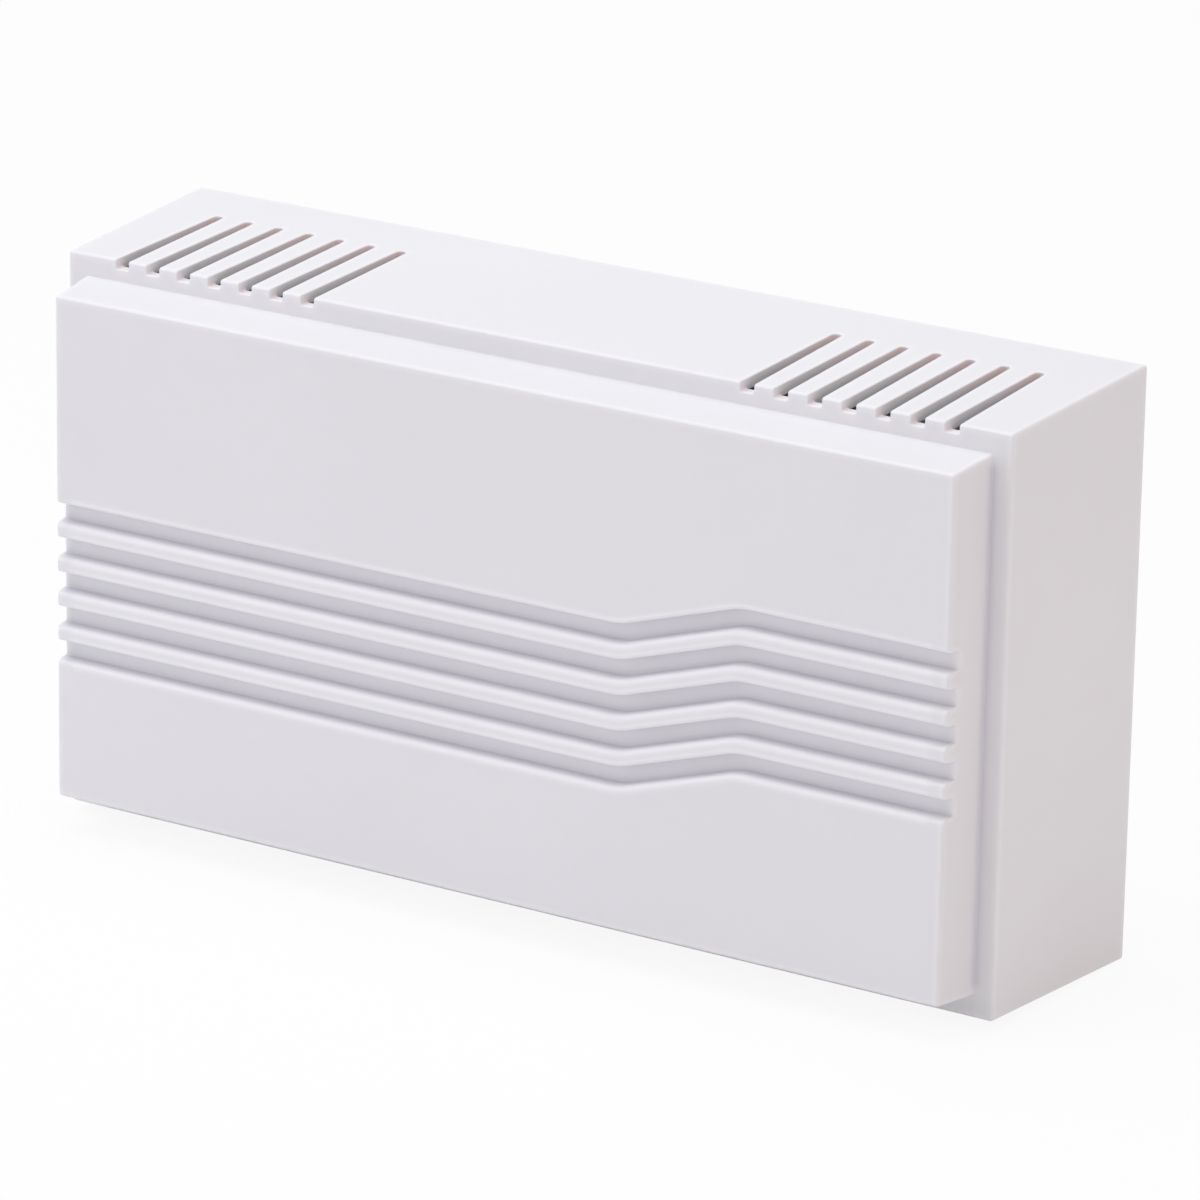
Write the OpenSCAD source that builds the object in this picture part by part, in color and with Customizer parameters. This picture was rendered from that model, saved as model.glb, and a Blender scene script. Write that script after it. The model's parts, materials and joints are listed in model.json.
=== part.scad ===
// Wired two-note doorbell chime box that hangs on a wall.
// X runs to the right, Y into the wall and Z up, in millimetres.
// The origin is the middle of the wall face, so a point at depth d in front of the wall has y = -d.

/* [Cover] */
// Width of the box at the wall
box_w = 200; // [190:1:240]
// Height of the box at the wall
box_h = 110; // [108:1:140]
// Depth from the wall to the step in front
box_d = 44; // [44:1:60]
// How far the front panel stands out from the step
panel_d = 11; // [7:0.5:16]
// Thickness of the walls
wall = 2.2; // [1.6:0.1:3]
// Mould draft of the box, per side over its depth
box_draft = 1.9; // [0.5:0.1:3]
// Mould draft of the panel, per side over its depth
panel_draft = 1.1; // [0.3:0.1:2]
// Width of the step at the ends of the panel
step_w = 3.8; // [2.5:0.1:8]
// Width of the step above and below the panel
step_h = 4.1; // [2.5:0.1:8]
// Radius of the front edges
edge_r = 0.5; // [0.3:0.1:0.5]
// Radius of the upright corners
corner_r = 0.6; // [0.6:0.1:2]
// Thickness of the ribs that stop the cover on the base
stop_t = 2; // [1.2:0.1:3]
// How far the stop ribs reach into the box
stop_h = 3.5; // [2.5:0.1:5]
// Distance of the stop ribs from the middle
stop_x = 30; // [20:1:36]

/* [Grooves] */
// Number of grooves across the panel
groove_count = 5; // [1:1:7]
// Distance from one groove to the next
groove_pitch = 6.6; // [5.5:0.1:8]
// Height of a groove
groove_h = 3.8; // [2.5:0.1:5]
// Depth of a groove
groove_depth = 2.9; // [1.2:0.1:3.6]
// Slope of a groove's two walls, as a difference in height
groove_wall_slope = 0.2; // [0.1:0.1:0.9]
// Height of the first groove on the left, above the middle of the box
groove_z = 6.85; // [4:0.05:14]
// How far the grooves rise towards the right end
groove_rise = 7.55; // [5:0.05:9]
// Where the grooves start to rise
jog_start_x = 27.5; // [0:0.5:36]
// Where the grooves run level again
jog_end_x = 51.5; // [46:0.5:70]
// Radius of the two bends
jog_r = 14; // [2:0.5:20]

/* [Sound slots] */
// Number of slots in a group
slot_count = 7; // [1:1:8]
// Distance from one slot to the next
slot_pitch = 6.75; // [5:0.05:7]
// Distance of a group from the middle of the box
slot_group_x = 66; // [62:0.5:66]
// Width of a slot at the step
slot_front_w = 2.8; // [1.5:0.1:3.5]
// Width of a slot at its rear end
slot_rear_w = 1.8; // [1:0.1:3]
// Length of a slot
slot_l = 31; // [15:0.5:31]
// How far a slot cuts down the step
slot_notch = 1.8; // [0.5:0.1:2.5]

/* [Base] */
// Thickness of the base plate
base_t = 2.6; // [2:0.1:3.5]
// Height of the rim from the wall
rim_d = 10; // [7:0.5:11]
// Thickness of the rim
rim_t = 2; // [1.5:0.1:3]
// Clearance between the rim and the cover
cover_gap = 0.2; // [0.15:0.05:0.5]
// Radius of the base's corners
base_corner_r = 2; // [1:0.5:5]
// Distance between the two wall-screw holes
wall_hole_spacing = 76; // [60:1:84]
// Height of the wall-screw holes above the middle
wall_hole_z = 38; // [34:0.5:42]
// Radius of the wall-screw holes
wall_hole_r = 2.25; // [1.75:0.05:3]
// Width of the wire opening
wire_w = 26; // [14:1:30]
// Height of the wire opening
wire_h = 16; // [10:1:18]
// Radius of the wire opening's corners
wire_corner_r = 3; // [1:0.5:5]
// Distance from the wire opening to the terminal block
wire_gap = 5; // [3:0.5:8]

/* [Tone bars] */
// Distance of each tone bar from the middle
bar_x = 54; // [52:0.5:60]
// Thickness of a tone bar
bar_t = 2.5; // [1.5:0.1:4]
// Width of a tone bar, measured away from the wall
bar_w = 30; // [22:1:32]
// Length of the left, low tone bar
low_bar_l = 94; // [88:1:96]
// Length of the right, high tone bar
high_bar_l = 84; // [82:1:88]
// Radius of the hole that holds a grommet
bar_hole_r = 3.8; // [3.4:0.1:4.2]
// Radius of a grommet's flanges
grommet_r = 5.4; // [5:0.1:5.8]
// Thickness of each grommet flange
grommet_flange_t = 2.2; // [1.5:0.1:3]
// Radius of the shoulder that runs through a grommet
shoulder_r = 2.1; // [1.8:0.1:2.4]
// Radius of a shoulder screw's thread
thread_r = 1.5; // [1:0.1:1.7]
// Radius of a shoulder screw's head
shoulder_head_r = 4; // [3:0.1:5]
// Thickness of a shoulder screw's head
shoulder_head_t = 2; // [1.5:0.1:3]
// Thickness of a tone bar's posts
post_t = 8; // [7:0.5:10]
// Width of a tone bar's posts
post_w = 9; // [7:0.5:12]

/* [Solenoids] */
// Depth of the plunger axes in front of the wall
axis_d = 24; // [23:0.5:27]
// Distance between the two plunger axes
solenoid_pitch = 24; // [23:0.5:25]
// Length of a winding
coil_l = 34; // [28:0.5:36]
// Outer radius of a winding
coil_r = 9.2; // [8:0.1:9.5]
// Length of the tape round a winding
tape_l = 24; // [16:0.5:25]
// Thickness of the tape
tape_t = 0.4; // [0.3:0.05:0.6]
// Outer radius of a bobbin's tube
tube_r = 4.6; // [4.4:0.1:5.2]
// Radius of a bobbin's flanges
flange_r = 10.6; // [10.3:0.1:11.2]
// Thickness of a bobbin's flanges
flange_t = 1.2; // [0.8:0.1:2]
// How far a bobbin's tube stands out of its yoke
snout_l = 3; // [2:0.5:4]
// Thickness of a yoke's sheet
yoke_t = 1.6; // [1:0.1:2]
// Height of a yoke
yoke_h = 20; // [16:0.5:21]
// Depth of a yoke's rear face in front of the wall
yoke_d = 9; // [8:0.5:10]
// Reach of a yoke's legs past the plunger axis
yoke_reach = 11; // [8:0.5:13]
// Distance of a yoke's two screws from its middle
yoke_screw_x = 12; // [8:0.5:13]
// Radius of a yoke screw
yoke_screw_r = 1.5; // [1.2:0.1:2]
// Radius of a yoke screw's head
yoke_head_r = 2.9; // [2.5:0.1:3.2]
// Thickness of a yoke screw's head
yoke_head_t = 1.8; // [1.2:0.1:2.2]
// Radius of the bosses under a yoke
yoke_boss_r = 5; // [4.2:0.1:6]

/* [Plungers] */
// Radius of a plunger
plunger_r = 3; // [2.5:0.1:3]
// Travel to the high tone bar
stroke = 8; // [5:0.5:8]
// Travel of the front plunger back to the low tone bar
rebound = 4; // [2:0.5:5]
// Length of a striker tip
tip_l = 9; // [7:0.5:10]
// Radius of a striker tip
tip_r = 4; // [3.5:0.1:4.3]
// Radius of the stub that holds a tip
stub_r = 1.5; // [1:0.1:2]
// Length of the stub that holds a tip
stub_l = 5; // [3:0.5:6]
// Radius of the spring seat on a left tip
seat_r = 5.2; // [4.8:0.1:6]
// Thickness of the spring seat
seat_t = 1.4; // [1:0.1:2]
// Number of curls in a return spring
spring_turns = 6; // [4:1:6]
// Mean radius of a return spring
spring_r = 4; // [3.8:0.05:4.1]
// Radius of the spring wire
spring_wire_r = 0.3; // [0.2:0.05:0.35]
// Thickness of the felt washer that stops the rear plunger
felt_t = 2; // [1:0.1:3]
// Radius of the felt washer
felt_r = 6; // [5:0.1:7]
// Thickness of the clip on the rear plunger
clip_t = 0.8; // [0.5:0.1:1.2]
// Radius of the clip on the rear plunger
clip_r = 5.4; // [4.5:0.1:6]

/* [Terminals] */
// Distance from one terminal to the next
terminal_pitch = 13; // [11:0.5:14]
// Distance of the middle terminal from the middle of the box
terminal_x = 18; // [14:0.5:19]
// Height of the terminal block
block_h = 13; // [11:0.5:14]
// Thickness of the terminal block
block_t = 8; // [6:0.5:10]
// Distance of the terminal block from the rim
block_margin = 3.5; // [2:0.5:5]
// Height of the bosses under the terminal block
block_boss_t = 4; // [3:0.5:6]
// Radius of the bosses under the terminal block
block_boss_r = 3.6; // [3:0.1:4]
// Length of each ear of the terminal block
ear_l = 8; // [7.5:0.5:10]
// Thickness of the ears
ear_t = 4; // [3:0.5:5]
// Thickness of the barriers between the terminals
barrier_t = 1.5; // [1:0.1:2]
// Height of the barriers over the block
barrier_h = 5; // [3:0.5:7]
// Thickness of a contact plate
contact_t = 0.8; // [0.5:0.1:1.2]
// Width of a contact plate
contact_w = 8; // [7:0.1:8.5]
// Length of a contact plate's tab past the block
contact_tab = 2.5; // [1.5:0.1:4]
// Width of a clamp washer
clamp_w = 7.4; // [6.8:0.1:8]
// Thickness of a clamp washer
clamp_t = 1; // [0.6:0.1:1.4]
// Radius of a terminal screw
terminal_screw_r = 1.75; // [1.4:0.05:2]
// Radius of a terminal screw's head
terminal_head_r = 3.5; // [3:0.1:3.6]
// Thickness of a terminal screw's head
terminal_head_t = 2.2; // [1.5:0.1:3]
// Radius of a coil lead
lead_r = 0.45; // [0.3:0.05:0.6]

/* [Clearances] */
// Gap between a plunger and its bobbin
plunger_gap = 0.2; // [0.1:0.05:0.4]
// Gap at the end of a plunger's travel
strike_gap = 0.3; // [0.2:0.05:0.5]
// Gap round a piece that seats in another
seat_gap = 0.1; // [0.05:0.05:0.2]
// Radial clearance round a screw
screw_gap = 0.15; // [0.1:0.05:0.3]

/* [Hidden] */
$fn = 48;

// Depths and half sizes of the cover
front_d = box_d + panel_d;
function box_half_w(d) = box_w/2 - box_draft*d/box_d;
function box_half_h(d) = box_h/2 - box_draft*d/box_d;
function panel_half_w(d) = box_half_w(box_d) - step_w - panel_draft*(d - box_d)/panel_d;
function panel_half_h(d) = box_half_h(box_d) - step_h - panel_draft*(d - box_d)/panel_d;
cut = 1;
slot_ledge = 1.5;
corner_steps = 4;
arc_step = 22.5;

// Path of the grooves, which rises between two bends
jog_run = jog_end_x - jog_start_x;
jog_angle = atan2(groove_rise, jog_run);
jog_tangent = min(jog_r*tan(jog_angle/2), jog_run/3);
jog_fillet_r = jog_tangent/tan(jog_angle/2);
bend_steps = 4;
bend_a = [
    for (i = [0:bend_steps]) let(a = jog_angle*i/bend_steps)
        [jog_start_x - jog_tangent + jog_fillet_r*sin(a), jog_fillet_r*(1 - cos(a))]
];
bend_b = [
    for (i = [bend_steps:-1:0]) let(a = jog_angle*i/bend_steps)
        [jog_end_x + jog_tangent - jog_fillet_r*sin(a), groove_rise - jog_fillet_r*(1 - cos(a))]
];
groove_path = concat([[-box_w/2, 0]], bend_a, bend_b, [[box_w/2, groove_rise]]);
groove_backing = 1.5;

// Base plate, which fits inside the cover with its rim
base_w = 2*(box_half_w(rim_d) - wall - cover_gap);
base_h = 2*(box_half_h(rim_d) - wall - cover_gap);

// Tone bars, carried at the two points where a free bar stands still as it sounds
still_share = 0.224;
strike_x = bar_x - bar_t/2;
post_x = bar_x + bar_t/2 + grommet_flange_t + seat_gap;
post_d = axis_d + post_w/2;
gusset_l = 9;
gusset_t = 2;
pilot_l = 6;
function bar_l(side) = side < 0 ? low_bar_l : high_bar_l;
function still_z(side) = (0.5 - still_share)*bar_l(side);

// Solenoids and plungers, row 1 above for the front door and row -1 below for the rear door
bore_r = plunger_r + plunger_gap;
yoke_l = coil_l + 2*(flange_t + seat_gap + yoke_t);
snout_x = yoke_l/2 + snout_l;
right_tip_x = strike_x - stroke - strike_gap;
left_tip_x = -(strike_x - rebound - strike_gap);
plunger_left_x = left_tip_x + tip_l;
plunger_right_x = right_tip_x - tip_l;
tip_chamfer = 1.4;
felt_x = snout_x + seat_gap;
clip_x = felt_x + felt_t + strike_gap;
clip_groove_depth = 0.7;
clip_groove_r = plunger_r - clip_groove_depth;
clip_mouth_share = 1.6;
head_recess = 0.4;
driver_w = 0.9;
driver_share = 0.7;
function row_z(row) = row*solenoid_pitch/2;

// Return springs, one tube of curls round each plunger's left end
rings_per_turn = 8;
tube_sides = 6;
spring_start_x = plunger_left_x + spring_wire_r + seat_gap;
spring_end_x = -snout_x - spring_wire_r - seat_gap;
function spring_path(row) = [
    for (k = [0:rings_per_turn*spring_turns])
        let(a = 360*k/rings_per_turn, u = k/(rings_per_turn*spring_turns))
            [spring_start_x + (spring_end_x - spring_start_x)*u,
             -axis_d + spring_r*cos(a), row_z(row) + spring_r*sin(a)]
];
function least_gap(path, skip, r) = min([
    for (i = [0:len(path) - 1]) for (j = [i + skip:1:len(path) - 1]) norm(path[i] - path[j]) - 2*r
]);
echo(least_spring_gap = least_gap(spring_path(1), rings_per_turn/2, spring_wire_r));

// Terminal block, on two bosses above the lower rim
block_l = 3*terminal_pitch;
block_z = -(base_h/2 - rim_t - block_margin - block_h/2);
block_rear_d = base_t + block_boss_t;
block_front_d = block_rear_d + block_t;
contact_d = block_front_d + contact_t;
clamp_d = contact_d + seat_gap;
head_d = clamp_d + clamp_t + seat_gap;
terminal_screw_l = 5;
ear_x = block_l/2 + ear_l/2;
ear_h = 9;
ear_screw_r = 1.3;
ear_head_r = 2.4;
ear_head_t = 1.6;
wire_x = terminal_x - block_l/2 - ear_l - wire_gap - wire_w/2;
function terminal_at(i) = terminal_x + i*terminal_pitch;
common_i = -1;
rear_i = 0;
front_i = 1;

// Coil leads, each from the surface of a winding to a contact tab
lead_x = (coil_l + tape_l)/4;
lead_sides = 8;
lead_steps = 5;
lead_seat_r = coil_r + lead_r + seat_gap;
tab_z = block_z + block_h/2 + contact_tab/2;
tab_d = contact_d + lead_r + seat_gap;
yoke_floor_z = row_z(-1) - yoke_h/2;
function coil_foot(x, row) = [x, -axis_d, row_z(row) - lead_seat_r];
function coil_crown(x, row) = [x, -axis_d, row_z(row) + lead_seat_r];
function tab(i) = [terminal_at(i), -tab_d, tab_z];
rear_route = [
    coil_foot(lead_x, -1),
    coil_foot(lead_x, -1) + [0.5, 2, -2],
    tab(rear_i) + [-1, -1.5, 4],
    tab(rear_i) + [0, -0.5, 2],
    tab(rear_i)
];
common_route = [
    coil_foot(-lead_x, -1),
    coil_foot(-lead_x, -1) + [2, 1, -2],
    [-4, -20, yoke_floor_z - 3],
    tab(common_i) + [-3, -1.5, 4],
    tab(common_i) + [0, -0.5, 2],
    tab(common_i)
];
jumper_route = [
    coil_foot(-lead_x, 1),
    coil_foot(-lead_x, 1) + [0, -1.5, -2],
    coil_crown(-lead_x, -1) + [0, -1.5, 2],
    coil_crown(-lead_x, -1)
];
front_route = [
    coil_foot(lead_x, 1),
    coil_foot(lead_x, 1) + [1, 3, -3],
    [yoke_l/2 - 1, -17, 0],
    [snout_x + 3, -14.5, -3],
    [snout_x + 7, -14, -14],
    tab(front_i) + [0, -0.5, 4],
    tab(front_i)
];

// Outline of a plate with round corners
module rounded_rect(w, h, r) {
    square([w - 2*r, h], center = true);
    square([w, h - 2*r], center = true);
    for (sx = [-1, 1], sz = [-1, 1])
        translate([sx*(w/2 - r), sz*(h/2 - r)])
            circle(r);
}

// Outline in x and z, made solid from one depth to another
module slab(from, to) {
    translate([0, -from, 0])
        rotate([90, 0, 0])
            linear_extrude(to - from)
                children();
}

// Outline in y and z, made solid from one x to another
module cross_slab(from, to) {
    translate([from, 0, 0])
        rotate([90, 0, 90])
            linear_extrude(to - from)
                children();
}

// Round bar along x
module rod_x(from, to, r) {
    translate([from, 0, 0])
        rotate([0, 90, 0])
            cylinder(h = to - from, r = r);
}

// Round bar away from the wall
module rod_d(from, to, r) {
    translate([0, -from, 0])
        rotate([90, 0, 0])
            cylinder(h = to - from, r = r);
}

// Solid turned round the x axis from an outline of radius and x
module turned_x() {
    rotate([0, 90, 0])
        rotate_extrude()
            children();
}

// Cross of driver slots in a screw head, at a depth
module driver_cross(from, to, reach) {
    slab(from, to) {
        square([2*reach, driver_w], center = true);
        square([driver_w, 2*reach], center = true);
    }
}

// Tube with triangle faces along a list of points
module tube(path, r, sides, ref) {
    last = len(path) - 1;
    rings = [
        for (i = [0:last])
            let(t = path[min(i + 1, last)] - path[max(i - 1, 0)])
            let(n = cross(t, ref)/norm(cross(t, ref)))
            let(b = cross(t, n)/norm(cross(t, n)))
            for (k = [0:sides - 1])
                path[i] + r*(cos(360*k/sides)*n + sin(360*k/sides)*b)
    ];
    skin = [
        for (i = [0:last - 1]) for (k = [0:sides - 1])
            let(a = i*sides + k, c = i*sides + (k + 1)%sides)
            each [[a, a + sides, c], [c, a + sides, c + sides]]
    ];
    caps = [
        for (k = [1:sides - 2])
            each [[0, k, k + 1], [last*sides, last*sides + k + 1, last*sides + k]]
    ];
    polyhedron(rings, concat(skin, caps));
}

// Points of a smooth curve through a route
function curve_point(a, b, c, d, t) =
    0.5*(2*b + (c - a)*t + (2*a - 5*b + 4*c - d)*t*t + (3*b - a - 3*c + d)*t*t*t);
function smooth(route) = concat(
    [
        for (i = [0:len(route) - 2]) for (k = [0:lead_steps - 1])
            curve_point(
                route[max(i - 1, 0)], route[i], route[i + 1],
                route[min(i + 2, len(route) - 1)], k/lead_steps
            )
    ],
    [route[len(route) - 1]]
);

// Points of a rounded rectangle at a depth
function ring(d, half_w, half_h, r) = [
    for (q = [0:3]) for (k = [0:corner_steps])
        let(a = 90*(q + k/corner_steps))
        let(sx = q == 0 || q == 3 ? 1 : -1, sz = q < 2 ? 1 : -1)
            [sx*(half_w - r) + r*cos(a), -d, sz*(half_h - r) + r*sin(a)]
];

// Solid through a stack of rings with equal numbers of points
module stacked(rings) {
    n = len(rings[0]);
    last = len(rings) - 1;
    points = [for (r = rings) each r];
    skin = [
        for (i = [0:last - 1]) for (k = [0:n - 1])
            let(a = i*n + k, c = i*n + (k + 1)%n)
            each [[a, a + n, c], [c, a + n, c + n]]
    ];
    caps = [
        [for (k = [0:n - 1]) k],
        [for (k = [n - 1:-1:0]) last*n + k]
    ];
    polyhedron(points, concat(skin, caps));
}

// Block that narrows away from the wall, with its front edges rounded
module drafted_block(rear, front) {
    stacked(concat(
        [ring(rear[0], rear[1], rear[2], corner_r)],
        [
            for (a = [0:arc_step:90])
                let(in = edge_r*(1 - cos(a)))
                    ring(front[0] - edge_r*(1 - sin(a)), front[1] - in, front[2] - in, corner_r - in)
        ]
    ));
}

// Hollow that narrows away from the wall, with sharp edges
module drafted_room(rear, front) {
    stacked([
        for (end = [rear, front])
            [for (s = [[1, 1], [-1, 1], [-1, -1], [1, -1]]) [s[0]*end[1], -end[0], s[1]*end[2]]]
    ]);
}

// Outer skin of the cover
module cover_skin() {
    panel_rear_d = box_d - wall/2;
    drafted_block(
        [0, box_half_w(0), box_half_h(0)],
        [box_d, box_half_w(box_d), box_half_h(box_d)]
    );
    drafted_block(
        [panel_rear_d, panel_half_w(panel_rear_d), panel_half_h(panel_rear_d)],
        [front_d, panel_half_w(front_d), panel_half_h(front_d)]
    );
}

// Room inside the cover's box
module box_room() {
    inner_d = box_d - wall;
    drafted_room(
        [-cut, box_half_w(-cut) - wall, box_half_h(-cut) - wall],
        [inner_d, box_half_w(inner_d) - wall, box_half_h(inner_d) - wall]
    );
}

// Room inside the cover's front panel, an inset from its outer faces
module panel_room(inset) {
    inner_d = front_d - inset;
    rear_d = box_d - wall - cut;
    drafted_room(
        [rear_d, panel_half_w(rear_d) - inset, panel_half_h(rear_d) - inset],
        [inner_d, panel_half_w(inner_d) - inset, panel_half_h(inner_d) - inset]
    );
}

// Bar that follows the grooves' path, with an outline of depth behind the panel's face and z
module groove_bar(outline) {
    sides = len(outline);
    last = len(groove_path) - 1;
    points = [
        for (p = groove_path) for (q = outline) [p[0], q[0] - front_d, p[1] + q[1]]
    ];
    skin = [
        for (i = [0:last - 1]) for (k = [0:sides - 1])
            let(a = i*sides + k, c = i*sides + (k + 1)%sides)
            each [[a, c, a + sides], [c, c + sides, a + sides]]
    ];
    caps = [
        [for (k = [sides - 1:-1:0]) k],
        [for (k = [0:sides - 1]) last*sides + k]
    ];
    polyhedron(points, concat(skin, caps));
}

// Grooves with a flat floor between two walls that slope a little
module grooves() {
    for (i = [0:groove_count - 1]) {
        top = groove_z - i*groove_pitch + groove_h/2;
        low = top - groove_h;
        groove_bar([
            [-cut, top],
            [0, top],
            [groove_depth, top - groove_wall_slope],
            [groove_depth, low + groove_wall_slope],
            [0, low],
            [-cut, low]
        ]);
    }
}

// Thicker band inside the panel that backs the grooves
module groove_band() {
    top = groove_z + groove_h/2 + wall;
    low = groove_z - (groove_count - 1)*groove_pitch - groove_h/2 - wall;
    rear = groove_depth + groove_backing;
    groove_bar([[-cut, top], [rear, top], [rear, low], [-cut, low]]);
}

// Plan of a sound slot, which widens from its round rear end to the step
module slot_plan() {
    hull() {
        translate([0, slot_l - box_d - slot_rear_w/2])
            circle(slot_rear_w/2, $fn = 16);
        translate([-slot_front_w/2, -box_d - cut])
            square([slot_front_w, cut]);
    }
}

// One sound slot through the top of the cover, which only notches the step
module sound_slot() {
    through_d = box_d - slot_ledge;
    low_z = box_half_h(box_d) - wall - cut;
    difference() {
        translate([0, 0, low_z])
            linear_extrude(wall + box_draft + 2*cut)
                slot_plan();
        translate([-slot_front_w, -box_d - 2*cut, low_z - cut])
            cube([2*slot_front_w, box_d - through_d + 2*cut, wall - slot_notch + 2*cut]);
    }
}

// Groups of slots at both ends of the top
module sound_slots() {
    for (side = [-1, 1], i = [0:slot_count - 1])
        translate([side*slot_group_x + (i - (slot_count - 1)/2)*slot_pitch, 0, 0])
            sound_slot();
}

// Ribs inside the top and bottom that stop the cover on the base's rim
module stop_ribs() {
    near_d = rim_d + cover_gap;
    far_d = box_d - wall/2;
    bite = wall/2;
    near_z = box_half_h(near_d) - wall;
    far_z = box_half_h(far_d) - wall;
    for (face = [0, 1], side = [-1, 1])
        mirror([0, 0, face])
            translate([side*stop_x, 0, 0])
                cross_slab(-stop_t/2, stop_t/2)
                    polygon([
                        [-near_d, near_z + bite], [-far_d, far_z + bite],
                        [-far_d, far_z - stop_h], [-near_d, near_z - stop_h]
                    ]);
}

module cover() {
    color([0.93, 0.93, 0.94])
        difference() {
            union() {
                difference() {
                    cover_skin();
                    box_room();
                    panel_room(wall);
                }
                intersection() {
                    groove_band();
                    panel_room(wall/2);
                }
                stop_ribs();
            }
            grooves();
            sound_slots();
        }
}

// Places with x pointing outwards at the four points that carry the tone bars
module at_still_points() {
    for (side = [-1, 1], end = [-1, 1])
        translate([side*bar_x, -axis_d, end*still_z(side)])
            mirror([side < 0 ? 1 : 0, 0, 0])
                children();
}

// Upright posts for the tone bars, each with a gusset behind it
module tone_bar_posts() {
    for (side = [-1, 1], end = [-1, 1])
        translate([0, 0, end*still_z(side)])
            mirror([side < 0 ? 1 : 0, 0, 0]) {
                slab(base_t/2, post_d)
                    translate([post_x + post_t/2, 0])
                        square([post_t, post_w], center = true);
                translate([0, 0, -gusset_t/2])
                    linear_extrude(gusset_t)
                        polygon([
                            [post_x + post_t/2, -base_t/2],
                            [post_x + post_t + gusset_l, -base_t/2],
                            [post_x + post_t + gusset_l, -base_t],
                            [post_x + post_t, -axis_d],
                            [post_x + post_t/2, -axis_d]
                        ]);
            }
}

// Places of the four yoke screws, on the wall plane
module at_yoke_screws() {
    for (row = [-1, 1], side = [-1, 1])
        translate([side*yoke_screw_x, 0, row_z(row)])
            children();
}

// Places of the terminal block's two screws, on the wall plane
module at_ears() {
    for (side = [-1, 1])
        translate([terminal_x + side*ear_x, 0, block_z])
            children();
}

module base_plate() {
    color([0.86, 0.85, 0.80])
        difference() {
            union() {
                slab(0, base_t)
                    rounded_rect(base_w, base_h, base_corner_r);
                slab(0, rim_d)
                    difference() {
                        rounded_rect(base_w, base_h, base_corner_r);
                        square([base_w - 2*rim_t, base_h - 2*rim_t], center = true);
                    }
                tone_bar_posts();
                at_yoke_screws()
                    rod_d(base_t/2, yoke_d, yoke_boss_r);
                at_ears()
                    rod_d(base_t/2, block_rear_d, block_boss_r);
            }
            for (side = [-1, 1])
                translate([side*wall_hole_spacing/2, 0, wall_hole_z])
                    rod_d(-cut, base_t + cut, wall_hole_r);
            translate([wire_x, 0, block_z])
                slab(-cut, base_t + cut)
                    rounded_rect(wire_w, wire_h, wire_corner_r);
            at_yoke_screws() {
                rod_d(-cut, yoke_d + cut, yoke_screw_r + screw_gap);
                rod_d(-cut, head_recess + yoke_head_t, yoke_head_r + screw_gap);
            }
            at_ears()
                rod_d(base_t/2, block_rear_d + cut, ear_screw_r + screw_gap);
            at_still_points()
                rod_x(post_x - bar_x - cut, post_x - bar_x + pilot_l + seat_gap, thread_r + seat_gap);
        }
}

// Steel plate with two holes for its grommets
module tone_bar(side) {
    difference() {
        translate([side*bar_x, -axis_d, 0])
            cube([bar_t, bar_w, bar_l(side)], center = true);
        at_still_points()
            rod_x(-bar_t/2 - cut, bar_t/2 + cut, bar_hole_r);
    }
}

module low_tone_bar() {
    color([0.66, 0.67, 0.69])
        tone_bar(-1);
}

module high_tone_bar() {
    color([0.66, 0.67, 0.69])
        tone_bar(1);
}

module tone_bar_grommets() {
    neck = bar_t/2 + seat_gap;
    end = bar_t/2 + grommet_flange_t;
    color([0.12, 0.12, 0.12])
        at_still_points()
            difference() {
                union() {
                    rod_x(-end, -neck, grommet_r);
                    rod_x(-end, end, bar_hole_r - seat_gap);
                    rod_x(neck, end, grommet_r);
                }
                rod_x(-end - cut, end + cut, shoulder_r + seat_gap);
            }
}

module tone_bar_screws() {
    seat = bar_t/2 + grommet_flange_t + seat_gap;
    color([0.72, 0.70, 0.62])
        at_still_points()
            difference() {
                union() {
                    rod_x(-seat - shoulder_head_t, -seat, shoulder_head_r);
                    rod_x(-seat, seat - seat_gap/2, shoulder_r);
                    rod_x(0, seat + pilot_l, thread_r);
                }
                translate([-seat - shoulder_head_t, 0, 0])
                    cube([shoulder_head_t, driver_w, 3*shoulder_head_r], center = true);
            }
}

// Steel strip bent into a U round a bobbin
module yoke(row) {
    front = axis_d + yoke_reach;
    difference() {
        translate([0, 0, row_z(row) - yoke_h/2])
            linear_extrude(yoke_h)
                difference() {
                    translate([-yoke_l/2, -front])
                        square([yoke_l, front - yoke_d]);
                    translate([-yoke_l/2 + yoke_t, -front - cut])
                        square([yoke_l - 2*yoke_t, front - yoke_d - yoke_t + cut]);
                }
        translate([0, -axis_d, row_z(row)])
            rod_x(-yoke_l, yoke_l, tube_r + screw_gap);
        at_yoke_screws()
            rod_d(yoke_d - cut, yoke_d + yoke_t + cut, yoke_screw_r + seat_gap);
    }
}

module front_yoke() {
    color([0.62, 0.60, 0.52])
        yoke(1);
}

module rear_yoke() {
    color([0.62, 0.60, 0.52])
        yoke(-1);
}

module yoke_screws() {
    seat_d = head_recess + yoke_head_t - seat_gap;
    color([0.70, 0.70, 0.68])
        at_yoke_screws()
            difference() {
                union() {
                    rod_d(head_recess, seat_d, yoke_head_r);
                    rod_d(head_recess, yoke_d + yoke_t, yoke_screw_r);
                }
                driver_cross(head_recess - cut, head_recess + yoke_head_t/2, driver_share*yoke_head_r);
            }
}

// Nylon spool, turned round the plunger axis
module bobbin(row) {
    flange_x = coil_l/2 + flange_t;
    translate([0, -axis_d, row_z(row)])
        turned_x()
            union() {
                translate([bore_r, -snout_x])
                    square([tube_r - bore_r, 2*snout_x]);
                for (x = [-flange_x, coil_l/2])
                    translate([bore_r, x])
                        square([flange_r - bore_r, flange_t]);
            }
}

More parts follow.
